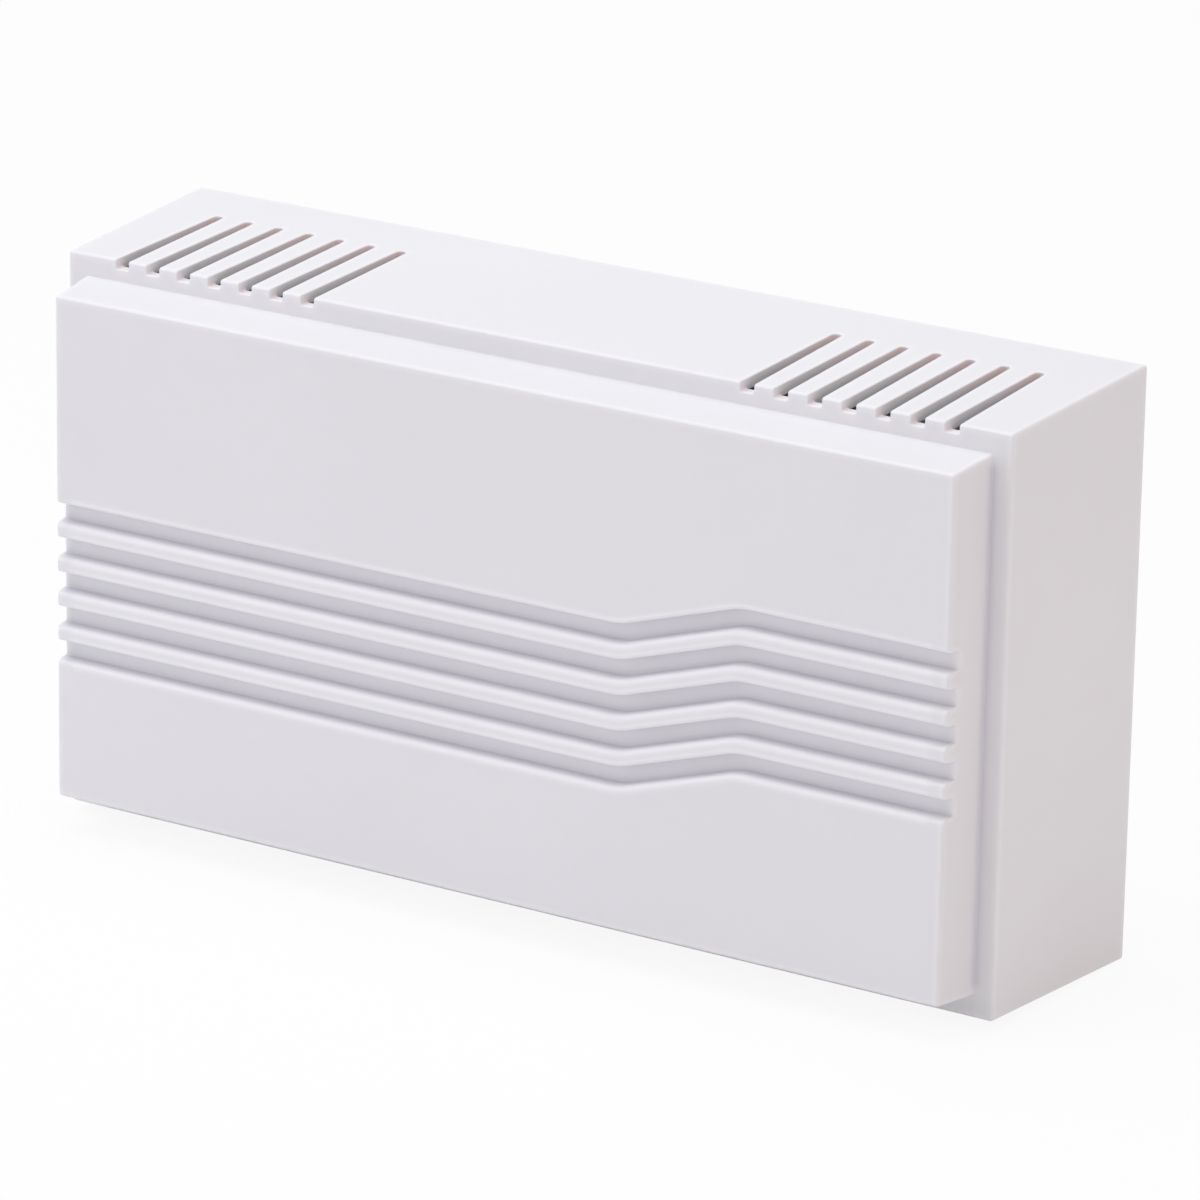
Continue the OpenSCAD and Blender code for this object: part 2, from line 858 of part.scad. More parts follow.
module front_bobbin() {
    color([0.90, 0.89, 0.84])
        bobbin(1);
}

module rear_bobbin() {
    color([0.90, 0.89, 0.84])
        bobbin(-1);
}

// Ring round the plunger axis, half on each side of the middle
module coil_ring(row, inner_r, outer_r, l) {
    translate([0, -axis_d, row_z(row)])
        turned_x()
            translate([inner_r, -l/2])
                square([outer_r - inner_r, l]);
}

module winding(row) {
    coil_ring(row, tube_r + seat_gap/2, coil_r, coil_l - seat_gap);
}

module winding_tape(row) {
    coil_ring(row, coil_r + seat_gap/2, coil_r + tape_t, tape_l);
}

module front_winding() {
    color([0.72, 0.38, 0.20])
        winding(1);
}

module rear_winding() {
    color([0.72, 0.38, 0.20])
        winding(-1);
}

module front_winding_tape() {
    color([0.85, 0.72, 0.30])
        winding_tape(1);
}

module rear_winding_tape() {
    color([0.85, 0.72, 0.30])
        winding_tape(-1);
}

// Steel core with a stub at each end for its striker tips
module plunger() {
    rod_x(plunger_left_x, plunger_right_x, plunger_r);
    rod_x(plunger_left_x - stub_l, plunger_right_x + stub_l, stub_r);
}

module front_plunger() {
    color([0.60, 0.61, 0.63])
        translate([0, -axis_d, row_z(1)])
            plunger();
}

module rear_plunger() {
    color([0.60, 0.61, 0.63])
        translate([0, -axis_d, row_z(-1)])
            difference() {
                plunger();
                difference() {
                    rod_x(clip_x - seat_gap, clip_x + clip_t + seat_gap, plunger_r + cut);
                    rod_x(clip_x - cut, clip_x + clip_t + cut, clip_groove_r);
                }
            }
}

// Nylon striker with a blind socket, pointing along +x from its inner face
module tip(has_seat) {
    socket_r = stub_r + seat_gap/2;
    socket_l = stub_l + seat_gap;
    turned_x()
        difference() {
            union() {
                polygon([
                    [0, 0], [tip_r, 0], [tip_r, tip_l - tip_chamfer],
                    [tip_r - tip_chamfer, tip_l], [0, tip_l]
                ]);
                if (has_seat)
                    square([seat_r, seat_t]);
            }
            translate([0, -cut])
                square([socket_r, socket_l + cut]);
        }
}

module left_tip(row) {
    translate([plunger_left_x, -axis_d, row_z(row)])
        mirror([1, 0, 0])
            tip(true);
}

module right_tip(row) {
    translate([plunger_right_x, -axis_d, row_z(row)])
        tip(false);
}

module front_left_tip() {
    color([0.93, 0.92, 0.86])
        left_tip(1);
}

module front_right_tip() {
    color([0.93, 0.92, 0.86])
        right_tip(1);
}

module rear_left_tip() {
    color([0.93, 0.92, 0.86])
        left_tip(-1);
}

module rear_right_tip() {
    color([0.93, 0.92, 0.86])
        right_tip(-1);
}

module front_spring() {
    color([0.75, 0.76, 0.78])
        tube(spring_path(1), spring_wire_r, tube_sides, [1, 0, 0]);
}

module rear_spring() {
    color([0.75, 0.76, 0.78])
        tube(spring_path(-1), spring_wire_r, tube_sides, [1, 0, 0]);
}

module rear_felt_washer() {
    color([0.30, 0.33, 0.30])
        translate([0, -axis_d, row_z(-1)])
            difference() {
                rod_x(felt_x, felt_x + felt_t, felt_r);
                rod_x(felt_x - cut, felt_x + felt_t + cut, bore_r + seat_gap);
            }
}

// Spring clip with an open side, in a groove of the plunger
module rear_plunger_clip() {
    mouth = clip_mouth_share*clip_groove_r;
    color([0.35, 0.36, 0.38])
        translate([0, -axis_d, row_z(-1)])
            difference() {
                rod_x(clip_x, clip_x + clip_t, clip_r);
                rod_x(clip_x - cut, clip_x + clip_t + cut, clip_groove_r + seat_gap/2);
                translate([clip_x - cut, -2*clip_r, -mouth/2])
                    cube([clip_t + 2*cut, 2*clip_r, mouth]);
            }
}

// Moulded block with an ear at each end and barriers between its terminals
module terminal_block() {
    color([0.16, 0.16, 0.17])
        difference() {
            union() {
                translate([terminal_x, 0, block_z]) {
                    slab(block_rear_d, block_front_d)
                        square([block_l, block_h], center = true);
                    slab(block_rear_d, block_rear_d + ear_t)
                        rounded_rect(block_l + 2*ear_l, ear_h, base_corner_r);
                }
                for (i = [-1.5:1:1.5])
                    translate([terminal_at(i), 0, block_z])
                        slab(block_rear_d, block_front_d + barrier_h)
                            square([barrier_t, block_h], center = true);
            }
            for (i = [-1:1])
                translate([terminal_at(i), 0, block_z])
                    rod_d(block_rear_d + cut, block_front_d + cut, terminal_screw_r + screw_gap);
            at_ears()
                rod_d(block_rear_d - cut, block_rear_d + ear_t + cut, ear_screw_r + screw_gap);
        }
}

module terminal_block_screws() {
    seat_d = block_rear_d + ear_t + seat_gap/2;
    color([0.70, 0.70, 0.68])
        at_ears()
            difference() {
                union() {
                    rod_d(base_t, seat_d + ear_head_t, ear_screw_r);
                    rod_d(seat_d, seat_d + ear_head_t, ear_head_r);
                }
                driver_cross(seat_d + ear_head_t/2, seat_d + ear_head_t + cut, driver_share*ear_head_r);
            }
}

// Brass plates on the block, each with a tab that takes a coil lead
module terminal_plates() {
    color([0.80, 0.66, 0.34])
        for (i = [-1:1])
            translate([terminal_at(i), 0, block_z])
                difference() {
                    slab(block_front_d, contact_d)
                        translate([-contact_w/2, -block_h/2 + cut])
                            square([contact_w, block_h + contact_tab - cut]);
                    rod_d(block_front_d - cut, contact_d + cut, terminal_screw_r + screw_gap);
                }
}

module terminal_washer(i) {
    color([0.74, 0.74, 0.72])
        translate([terminal_at(i), 0, block_z])
            difference() {
                slab(clamp_d, clamp_d + clamp_t)
                    rounded_rect(clamp_w, clamp_w, clamp_t);
                rod_d(clamp_d - cut, clamp_d + clamp_t + cut, terminal_screw_r + screw_gap);
            }
}

module terminal_screw(i) {
    color([0.78, 0.74, 0.60])
        translate([terminal_at(i), 0, block_z])
            difference() {
                union() {
                    rod_d(block_front_d - terminal_screw_l, head_d + terminal_head_t, terminal_screw_r);
                    rod_d(head_d, head_d + terminal_head_t, terminal_head_r);
                }
                driver_cross(
                    head_d + terminal_head_t/2, head_d + terminal_head_t + cut,
                    driver_share*terminal_head_r
                );
            }
}

module rear_coil_lead() {
    color([0.55, 0.12, 0.10])
        tube(smooth(rear_route), lead_r, lead_sides, [1, 0.3, 0.2]);
}

module common_lead() {
    color([0.20, 0.20, 0.22]) {
        tube(smooth(common_route), lead_r, lead_sides, [0.2, 1, 0.6]);
        tube(smooth(jumper_route), lead_r, lead_sides, [1, 0, 0]);
    }
}

module front_coil_lead() {
    color([0.55, 0.12, 0.10])
        tube(smooth(front_route), lead_r, lead_sides, [0.5, 1, -0.4]);
}

cover();
base_plate();
low_tone_bar();
high_tone_bar();
tone_bar_grommets();
tone_bar_screws();
front_yoke();
rear_yoke();
yoke_screws();
front_bobbin();
rear_bobbin();
front_winding();
rear_winding();
front_winding_tape();
rear_winding_tape();
front_plunger();
rear_plunger();
front_left_tip();
front_right_tip();
rear_left_tip();
rear_right_tip();
front_spring();
rear_spring();
rear_felt_washer();
rear_plunger_clip();
terminal_block();
terminal_block_screws();
terminal_plates();
terminal_washer(common_i);  // common_terminal_washer
terminal_washer(rear_i);  // rear_terminal_washer
terminal_washer(front_i);  // front_terminal_washer
terminal_screw(common_i);  // common_terminal_screw
terminal_screw(rear_i);  // rear_terminal_screw
terminal_screw(front_i);  // front_terminal_screw
rear_coil_lead();
common_lead();
front_coil_lead();
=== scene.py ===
"""Looks of a wall-hung two-note doorbell chime box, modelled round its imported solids.

Lengths are in millimetres unless a heading says otherwise. A point of a moulded skin is given as its x,
its depth in front of the wall and its z, and Skin.build turns it into metres.
"""
import json
import math

import bmesh
import bpy
from mathutils import Matrix, Vector


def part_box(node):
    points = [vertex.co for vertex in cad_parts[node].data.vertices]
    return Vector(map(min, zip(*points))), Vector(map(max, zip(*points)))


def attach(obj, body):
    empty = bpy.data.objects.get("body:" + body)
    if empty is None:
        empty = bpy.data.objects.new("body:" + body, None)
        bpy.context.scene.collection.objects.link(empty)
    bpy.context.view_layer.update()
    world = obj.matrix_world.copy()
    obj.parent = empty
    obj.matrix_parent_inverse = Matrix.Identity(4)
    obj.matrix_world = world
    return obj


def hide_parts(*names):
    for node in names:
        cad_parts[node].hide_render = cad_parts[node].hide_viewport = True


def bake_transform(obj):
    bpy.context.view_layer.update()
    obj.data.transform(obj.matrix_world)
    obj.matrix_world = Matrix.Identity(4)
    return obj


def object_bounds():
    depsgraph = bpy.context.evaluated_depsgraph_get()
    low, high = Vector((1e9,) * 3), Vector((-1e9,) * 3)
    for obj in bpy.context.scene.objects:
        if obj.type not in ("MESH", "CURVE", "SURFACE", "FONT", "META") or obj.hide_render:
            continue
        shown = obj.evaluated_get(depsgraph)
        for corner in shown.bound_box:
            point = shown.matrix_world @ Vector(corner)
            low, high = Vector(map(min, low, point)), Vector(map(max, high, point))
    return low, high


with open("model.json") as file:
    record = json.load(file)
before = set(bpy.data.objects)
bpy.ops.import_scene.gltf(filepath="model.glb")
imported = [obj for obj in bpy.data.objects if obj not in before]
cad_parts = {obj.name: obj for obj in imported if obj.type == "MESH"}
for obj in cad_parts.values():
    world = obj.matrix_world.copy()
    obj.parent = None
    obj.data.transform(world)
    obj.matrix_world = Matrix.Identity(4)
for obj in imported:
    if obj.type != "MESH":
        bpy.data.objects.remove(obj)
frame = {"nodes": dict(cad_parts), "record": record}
cad_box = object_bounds()
NODES = frame["nodes"]
RECORD = frame["record"]
BODY_OF = {node: body for body, members in RECORD["behaviour"]["bodies"].items() for node in members}
SLOT_OF = {part["node"]: part["material_slot"] for part in RECORD["subparts"]}
MM = 0.001

# Camera at the photograph's viewing angle: distance and aim in metres, angles in degrees
VIEW_AZIMUTH = 31.913
VIEW_ELEVATION = 18.483
VIEW_ROLL = 0.999
VIEW_DISTANCE = 1.26465
VIEW_AIM = Vector((0.02365, -0.055, 0.01255))
SENSOR = 36.0
LENS = 218.36

# Studio, in metres and watts
FLOOR_SIZE = 12.0
FLOOR_COLOUR = (0.90, 0.90, 0.905, 1)
FLOOR_WHITE_SHARE = 0.9
AMBIENT = 0.48
AMBIENT_COLOUR = (1.0, 0.965, 0.955, 1)
SEEN = ("Is Camera Ray", "Is Glossy Ray", "Is Transmission Ray")
SOFTBOXES = {
    "overhead": {"at": (-0.25, -0.15, 1.5), "size": 1.3, "watts": 13.6, "colour": (0.89, 0.945, 1.0)},
    "front_left": {"at": (-0.7, -0.8, 0.5), "size": 0.8, "watts": 2.7, "colour": (0.93, 0.895, 1.0)},
    "right": {"at": (1.6, -0.3, 0.6), "size": 1.2, "watts": 4.2, "colour": (1.0, 0.735, 0.66)},
}

# Cover: outer sizes from its solid, then the sizes that shape it
cover_low, cover_high = (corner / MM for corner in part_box("cover"))
HALF_W = cover_high.x
HALF_H = cover_high.z
FRONT_D = -cover_low.y
PANEL_D = 11.0
BOX_D = FRONT_D - PANEL_D
WALL = 2.2
BOX_DRAFT = 1.9
PANEL_DRAFT = 1.1
STEP_W = 3.8
STEP_H = 4.1
EDGE_R = 0.5
CORNER_R = 0.6
RIM_R = 0.3
STEP_FILLET = 0.12
ROUND_STEPS = 6
RIM_STEPS = 3
PANEL_STEPS = 4
SIDE_D = BOX_D - EDGE_R
INNER_D = BOX_D - WALL

# Grooves of the front panel
GROOVE_COUNT = 5
GROOVE_PITCH = 6.6
GROOVE_H = 3.8
GROOVE_DEPTH = 2.9
GROOVE_SLOPE = 0.2
GROOVE_Z = 6.85
GROOVE_EDGE_R = 0.8
GROOVE_UPPER_R = 0.3
GROOVE_LOWER_R = 0.15
GROOVE_LIP_R = 0.9
GROOVE_BACKING = 1.5
GROOVE_RISE = 7.55
JOG_START = 27.5
JOG_END = 51.5
JOG_R = 14.0
JOG_STEPS = 8

# Sound slots
SLOT_COUNT = 7
SLOT_PITCH = 6.75
SLOT_GROUP_X = 66.0
SLOT_FRONT_W = 2.8
SLOT_REAR_W = 1.8
SLOT_L = 31.0
SLOT_NOTCH = 1.8
SLOT_ROUND = 0.25
SLOT_CORNER = 0.35
SLOT_STEPS = 4
SLOT_EDGE_STEPS = 3
SLOT_TIP_D = BOX_D - SLOT_L + SLOT_REAR_W / 2
TOP_SLOTS = sorted(
    side * SLOT_GROUP_X + (i - (SLOT_COUNT - 1) / 2) * SLOT_PITCH
    for side in (-1, 1) for i in range(SLOT_COUNT)
)
NOTCH_Z = HALF_H - BOX_DRAFT - SLOT_NOTCH

# Ribs that stop the cover on the base
RIB_X = 30.0
RIB_T = 2.0
RIB_H = 3.5
RIB_REAR_D = 10.2
RIB_ROOT = 0.3
RIB_CHAMFER = 1.0

# Meshes
PLACE_DIGITS = 3
MERGE = 0.002
FLAT_DEGREES = 0.5
EDGE_DEGREES = 35.0
FLAT_WEIGHT = 100
BEVEL_STEPS = 2
LEAD_ROUNDING = 2

# Pieces inside the cover
WIRE_D = 0.42
WIRE_STEPS = 4
WINDING_SIDES = 40
BOBBIN_TUBE_R = 4.65
TAPE_T = 0.35
TAPE_LAP = 0.12
TAPE_SIDES = 64
TAPE_END_RADIANS = 2.2
SPRING_WIRE_R = 0.3
SPRING_TURNS = 6
SPRING_STEPS = 32
SPRING_SIDES = 10

# How far the edges of the other pieces are rounded off
ROUND_OFF = {
    "base_plate": 0.3, "low_tone_bar": 0.35, "high_tone_bar": 0.35, "tone_bar_grommets": 0.5,
    "tone_bar_screws": 0.2, "front_yoke": 0.25, "rear_yoke": 0.25, "yoke_screws": 0.15,
    "front_bobbin": 0.2, "rear_bobbin": 0.2, "front_plunger": 0.3, "rear_plunger": 0.2,
    "front_left_tip": 0.3, "front_right_tip": 0.3, "rear_left_tip": 0.3, "rear_right_tip": 0.3,
    "rear_felt_washer": 0.4, "rear_plunger_clip": 0.1, "terminal_block": 0.3,
    "terminal_block_screws": 0.15, "terminal_plates": 0.12,
    "common_terminal_washer": 0.15, "rear_terminal_washer": 0.15, "front_terminal_washer": 0.15,
    "common_terminal_screw": 0.2, "rear_terminal_screw": 0.2, "front_terminal_screw": 0.2
}

# Materials
MIDDLE = (0.3, 0.7)
CLOUD_DETAIL = 4.0
GRAIN_DETAIL = 3.0
GRAIN_DEPTH = 0.1
METAL = {"Metallic": 1.0}
NYLON_DEPTHS = (1.0, 0.8, 0.5)
OPENNESS_SAMPLES = 8
CORNER_REACH = 2.6
COVER_EDGE_REACH = 1.6
EDGE_PALER = 1.25
EDGE_PALEST = 0.92

# Openness at which a tint starts and is full; on the cover, the edge tint is a painted highlight and the
# corner, ledge and slot-wall tints are painted shade
COVER_EDGES = (0.97, 0.68)
WORN_EDGES = (0.95, 0.55)
CORNERS = (0.92, 0.5)
LEDGES = (0.85, 0.55)
SLOT_WALLS = (0.85, 0.45)

# Where a tint of the cover starts and is full, counted from the edge that it follows
PANEL_FADE = (-0.1, -1.4)
RIBS_FADE = (8.5, 2.5)
RIB_ENDS_FADE = (-1.2, -5.2)
GROOVES_FADE = (1.1, 0.3)
STEP_FADE = (0.6, 2.1)
SLOT_FEET_FADE = (-1.8, -0.8)
SLOT_SIDES_FADE = (-5.75, -2.75)


# Shapes

def arc_angles(steps, first=0.0, last=90.0):
    """Angles in radians, evenly spread from first to last degrees."""
    return [math.radians(first + (last - first) * k / steps) for k in range(steps + 1)]


def rounded_path(points, radii, steps=ROUND_STEPS):
    """A flat path whose inner points are replaced by arcs of the given radii."""
    path = [points[0]]
    for before, corner, after, radius in zip(points, points[1:], points[2:], radii):
        corner = Vector(corner)
        back = (Vector(before) - corner).normalized()
        ahead = (Vector(after) - corner).normalized()
        half = back.angle(ahead) / 2
        centre = corner + (back + ahead).normalized() * radius / math.sin(half)
        start = corner + back * radius / math.tan(half) - centre
        sweep = start.angle_signed(corner + ahead * radius / math.tan(half) - centre)
        for k in range(steps + 1):
            turn = Matrix.Rotation(-sweep * k / steps, 2)
            path.append(tuple(centre + turn @ start))
    return path + [points[-1]]


class Skin:
    """Faces over points, with one vertex for each place."""

    def __init__(self):
        self.points = []
        self.faces = []
        self.index = {}

    def point(self, place):
        """Index of the vertex at a place."""
        key = tuple(round(c, PLACE_DIGITS) for c in place)
        if key not in self.index:
            self.index[key] = len(self.points)
            self.points.append(place)
        return self.index[key]

    def face(self, places):
        """One face over places, unless they fall together."""
        loop = list(dict.fromkeys(self.point(p) for p in places))
        if len(loop) > 2:
            self.faces.append(loop)

    def strip(self, chain_a, chain_b):
        """A row of faces between two chains of as many points."""
        for k in range(len(chain_a) - 1):
            self.face([chain_a[k], chain_a[k + 1], chain_b[k + 1], chain_b[k]])

    def between(self, chain_a, chain_b):
        """One flat face between two chains that run the same way."""
        self.face(list(chain_a) + list(reversed(chain_b)))

    def build(self, name):
        """The mesh in metres, with its faces turned outwards."""
        mesh = bpy.data.meshes.new(name)
        mesh.from_pydata([(x * MM, -d * MM, z * MM) for x, d, z in self.points], [], self.faces)
        bm = bmesh.new()
        bm.from_mesh(mesh)
        bmesh.ops.remove_doubles(bm, verts=bm.verts, dist=MERGE * MM)
        bmesh.ops.recalc_face_normals(bm, faces=bm.faces)
        bm.to_mesh(mesh)
        bm.free()
        return mesh


def smooth_shaded(piece, sharp_degrees=None):
    """Smooth shading that keeps flat faces flat, with edges over an angle left sharp where one is given."""
    normals = piece.data.attributes.get("custom_normal")
    if normals:
        piece.data.attributes.remove(normals)
    piece.data.shade_smooth()
    weighted = piece.modifiers.new("flat_faces", "WEIGHTED_NORMAL")
    weighted.weight = FLAT_WEIGHT
    if sharp_degrees:
        piece.data.set_sharp_from_angle(angle=math.radians(sharp_degrees))
        weighted.keep_sharp = True


def add_piece(name, mesh, node, material):
    """A new piece that stands for a node and takes its finish."""
    piece = bpy.data.objects.new(name, mesh)
    bpy.context.scene.collection.objects.link(piece)
    piece.data.materials.clear()
    piece.data.materials.append(material)
    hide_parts(node)
    return piece


def settle(piece, node, sharp_degrees=None):
    """Shades a piece that is rigid, and lets it ride on its node's body."""
    smooth_shaded(piece, sharp_degrees)
    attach(piece, BODY_OF[node])


# Cover

def slots_in(sz):
    """Middles of the sound slots in the top, or none in the bottom, where sz is -1."""
    return TOP_SLOTS if sz > 0 else []


def draft(d):
    """How far the box's sides have come in at a depth."""
    return BOX_DRAFT * min(max(d, 0) / SIDE_D, 1)


def panel_half(d):
    """Half width and half height of the panel at a depth."""
    come_in = BOX_DRAFT + PANEL_DRAFT * (d - BOX_D) / PANEL_D
    return HALF_W - STEP_W - come_in, HALF_H - STEP_H - come_in


def flat_station(d):
    """Place and outward normal on the flat of the top, as depth, z and their two normals."""
    return d, HALF_H - draft(d), 0.0, 1.0


def bend_station(angle):
    """The same on the rounded edge in front of the top."""
    z = HALF_H - BOX_DRAFT - EDGE_R * (1 - math.cos(angle))
    return SIDE_D + EDGE_R * math.sin(angle), z, math.sin(angle), math.cos(angle)


def face_station(z):
    """The same on the front of the step."""
    return BOX_D, z, 1.0, 0.0


def slot_half(d):
    """Half width of a sound slot at a depth."""
    share = (min(d, BOX_D) - SLOT_TIP_D) / (BOX_D - SLOT_TIP_D)
    return (SLOT_REAR_W + (SLOT_FRONT_W - SLOT_REAR_W) * share) / 2


def slot_tip_chain(offset):
    """Half of a slot's round rear end, from its middle outwards, as x and depth."""
    r = SLOT_REAR_W / 2 + offset
    return [(r * math.sin(a), SLOT_TIP_D - r * math.cos(a)) for a in arc_angles(SLOT_STEPS)]


def slot_foot_chain(offset):
    """Half of a slot's lower end on the step, from its side to its middle, as x and z."""
    r = SLOT_CORNER + offset
    centre_x = SLOT_FRONT_W / 2 - SLOT_CORNER
    centre_z = NOTCH_Z + SLOT_CORNER
    arc = [(centre_x + r * math.cos(a), centre_z - r * math.sin(a)) for a in arc_angles(SLOT_EDGE_STEPS)]
    return arc + [(0.0, NOTCH_Z - offset)]


def slot_chain(offset):
    """Half of a slot's outline, an offset outside it, as x and station."""
    tip = [(x, flat_station(d)) for x, d in slot_tip_chain(offset)]
    bends = [bend_station(a) for a in arc_angles(ROUND_STEPS)]
    side = [(slot_half(st[0]) + offset, st) for st in bends]
    foot = [(x, face_station(z)) for x, z in slot_foot_chain(offset)]
    return tip + side + foot


def sunk(x, station, drop, sz):
    """Point under a station of the top, or of the bottom where sz is -1."""
    d, z, normal_d, normal_z = station
    return x, d - normal_d * drop, sz * (z - normal_z * drop)


def side_x(d):
    """Where the flat of the top ends and the round of its corner starts."""
    return HALF_W - draft(d) - CORNER_R


def inner_z(d):
    """Half height of the room inside the box at a depth."""
    return HALF_H - WALL - draft(d)


def inner_x(d):
    """Half width of the room inside the box at a depth."""
    return HALF_W - WALL - draft(d)


def corner_column(d, inset, sx, sz):
    """Points of an upright corner at a depth, from the top or bottom round to the side."""
    r = CORNER_R - inset
    return [
        (sx * (side_x(d) + r * math.sin(a)), d, sz * (HALF_H - draft(d) - CORNER_R + r * math.cos(a)))
        for a in arc_angles(ROUND_STEPS)
    ]


def rear_rim_stations():
    """Depths and insets of the rounded rear edge, from the wall forwards."""
    return [(RIM_R * (1 - math.cos(a)), RIM_R * (1 - math.sin(a))) for a in arc_angles(RIM_STEPS)]


def add_slotted_face(skin, sz):
    """The top, or the bottom where sz is -1, with its sound slots, as far as the foot of the slots."""
    outline = slot_chain(SLOT_ROUND)[:-1]
    stations = [st for _, st in outline]
    chains = [[(-side_x(st[0]), st[0], sz * st[1]) for st in stations]]
    for centre in slots_in(sz):
        for side in (-1, 1):
            chains.append([sunk(centre + side * x, st, 0, sz) for x, st in outline])
    chains.append([(side_x(st[0]), st[0], sz * st[1]) for st in stations])
    for left, right in zip(chains[0::2], chains[1::2]):
        skin.strip(left, right)
    tip_d = stations[0][0]
    rows = [(d, HALF_H - draft(d) - inset) for d, inset in rear_rim_stations()]
    rows.append((tip_d, HALF_H - draft(tip_d)))
    columns = [
        [(x, d, sz * z) for x in [-side_x(d)] + slots_in(sz) + [side_x(d)]] for d, z in rows
    ]
    for rear, front in zip(columns, columns[1:]):
        skin.strip(rear, front)
    for centre in slots_in(sz):
        for side in (-1, 1):
            add_slot_walls(skin, centre, side, sz)


def add_slot_walls(skin, centre, side, sz):
    """Rounded edge, walls and ledge of one half of a sound slot."""
    loops = []
    for a in arc_angles(SLOT_EDGE_STEPS):
        offset = SLOT_ROUND * (1 - math.sin(a))
        drop = SLOT_ROUND * (1 - math.cos(a))
        loops.append([sunk(centre + side * x, st, drop, sz) for x, st in slot_chain(offset)])
    for outer, inner in zip(loops, loops[1:]):
        skin.strip(outer, inner)
    edge = loops[-1]
    ceiling = [(centre + side * x, d, sz * inner_z(d)) for x, d in slot_tip_chain(0)]
    skin.strip(edge[:len(ceiling)], ceiling)
    foot_count = len(slot_foot_chain(0))
    ledge = slot_ledge_chain(centre, side, sz)
    skin.strip(edge[-foot_count:], ledge)
    end = (centre + side * slot_half(INNER_D), INNER_D, sz * inner_z(INNER_D))
    skin.between(edge[len(ceiling) - 1:len(edge) - foot_count + 1], [ceiling[-1], end, ledge[0]])


def slot_ledge_chain(centre, side, sz):
    """Rear edge of the ledge at the foot of a slot, from its side to its middle."""
    narrower = SLOT_FRONT_W / 2 - slot_half(INNER_D)
    return [
        (centre + side * max(x - narrower, 0), INNER_D, sz * z) for x, z in slot_foot_chain(0)
    ]


def add_box_corners(skin):
    """Upright corners and plain ends of the box."""
    stations = rear_rim_stations()
    stations += [(st[0], 0.0) for _, st in slot_chain(SLOT_ROUND)[:SLOT_STEPS + 1]]
    stations += [
        (SIDE_D + EDGE_R * math.sin(a), EDGE_R * (1 - math.cos(a))) for a in arc_angles(ROUND_STEPS)
    ]
    for sx in (-1, 1):
        ends = []
        for sz in (-1, 1):
            columns = [corner_column(d, inset, sx, sz) for d, inset in stations]
            for rear, front in zip(columns, columns[1:]):
                skin.strip(rear, front)
            ends.append([column[-1] for column in columns])
        skin.strip(*ends)


def jog_columns():
    """Places along the panel where the grooves bend, as x and rise."""
    angle = math.atan2(GROOVE_RISE, JOG_END - JOG_START)
    reach = JOG_R * math.tan(angle / 2)
    first = [
        (JOG_START - reach + JOG_R * math.sin(a), JOG_R * (1 - math.cos(a)))
        for a in arc_angles(JOG_STEPS, last=math.degrees(angle))
    ]
    second = [(JOG_START + JOG_END - x, GROOVE_RISE - rise) for x, rise in reversed(first)]
    return first + second


def groove_rows():
    """Rows across the grooved band from its foot to its head, as z and depth."""
    rows = []
    for i in reversed(range(GROOVE_COUNT)):
        top = GROOVE_Z - i * GROOVE_PITCH + GROOVE_H / 2
        low = top - GROOVE_H
        land = (GROOVE_PITCH - GROOVE_H) / 2
        corners = [
            (low - land, 0.0), (low, 0.0), (low + GROOVE_SLOPE, GROOVE_DEPTH),
            (top - GROOVE_SLOPE, GROOVE_DEPTH), (top, 0.0), (top + land, 0.0)
        ]
        radii = (GROOVE_LIP_R, GROOVE_LOWER_R, GROOVE_UPPER_R, GROOVE_EDGE_R)
        rows += rounded_path(corners, radii)[1:-1]
    return rows


def panel_loop(depth, out, in_grooves):
    """Closed loop round the panel, with the grooves cut into its two ends where in_grooves is true."""
    half_w, half_h = panel_half(depth)
    r = CORNER_R + out
    end_x, end_z = half_w - CORNER_R, half_h - CORNER_R
    columns = [-end_x] + [x for x, _ in jog_columns()] + [end_x]
    arc = arc_angles(PANEL_STEPS)

    def end_points(rise, sx):
        points = []
        for z, cut in groove_rows():
            d = depth - cut if in_grooves else depth
            points.append((sx * (panel_half(d)[0] + out), d, z + rise))
        return points

    def corner(sx, sz, angles):
        return [
            (sx * (end_x + r * math.cos(a)), depth, sz * (end_z + r * math.sin(a))) for a in angles
        ]

    loop = corner(1, -1, reversed(arc)) + end_points(GROOVE_RISE, 1)
    loop += corner(1, 1, arc)
    loop += [(x, depth, half_h + out) for x in reversed(columns[1:-1])]
    loop += corner(-1, 1, reversed(arc)) + list(reversed(end_points(0.0, -1)))
    loop += corner(-1, -1, arc)
    loop += [(x, depth, -half_h - out) for x in columns[1:-1]]
    return loop


def add_panel(skin):
    """Sides, rounded edges and grooved face of the front panel. Gives back its loop on the step."""
    loops = []
    for a in arc_angles(PANEL_STEPS):
        depth = BOX_D + STEP_FILLET * (1 - math.cos(a))
        loops.append(panel_loop(depth, STEP_FILLET * (1 - math.sin(a)), False))
    for a in arc_angles(ROUND_STEPS):
        depth = FRONT_D - EDGE_R * (1 - math.sin(a))
        loops.append(panel_loop(depth, -EDGE_R * (1 - math.cos(a)), True))
    for rear, front in zip(loops, loops[1:]):
        skin.strip(rear + rear[:1], front + front[:1])
    add_grooved_face(skin)
    return loops[0]


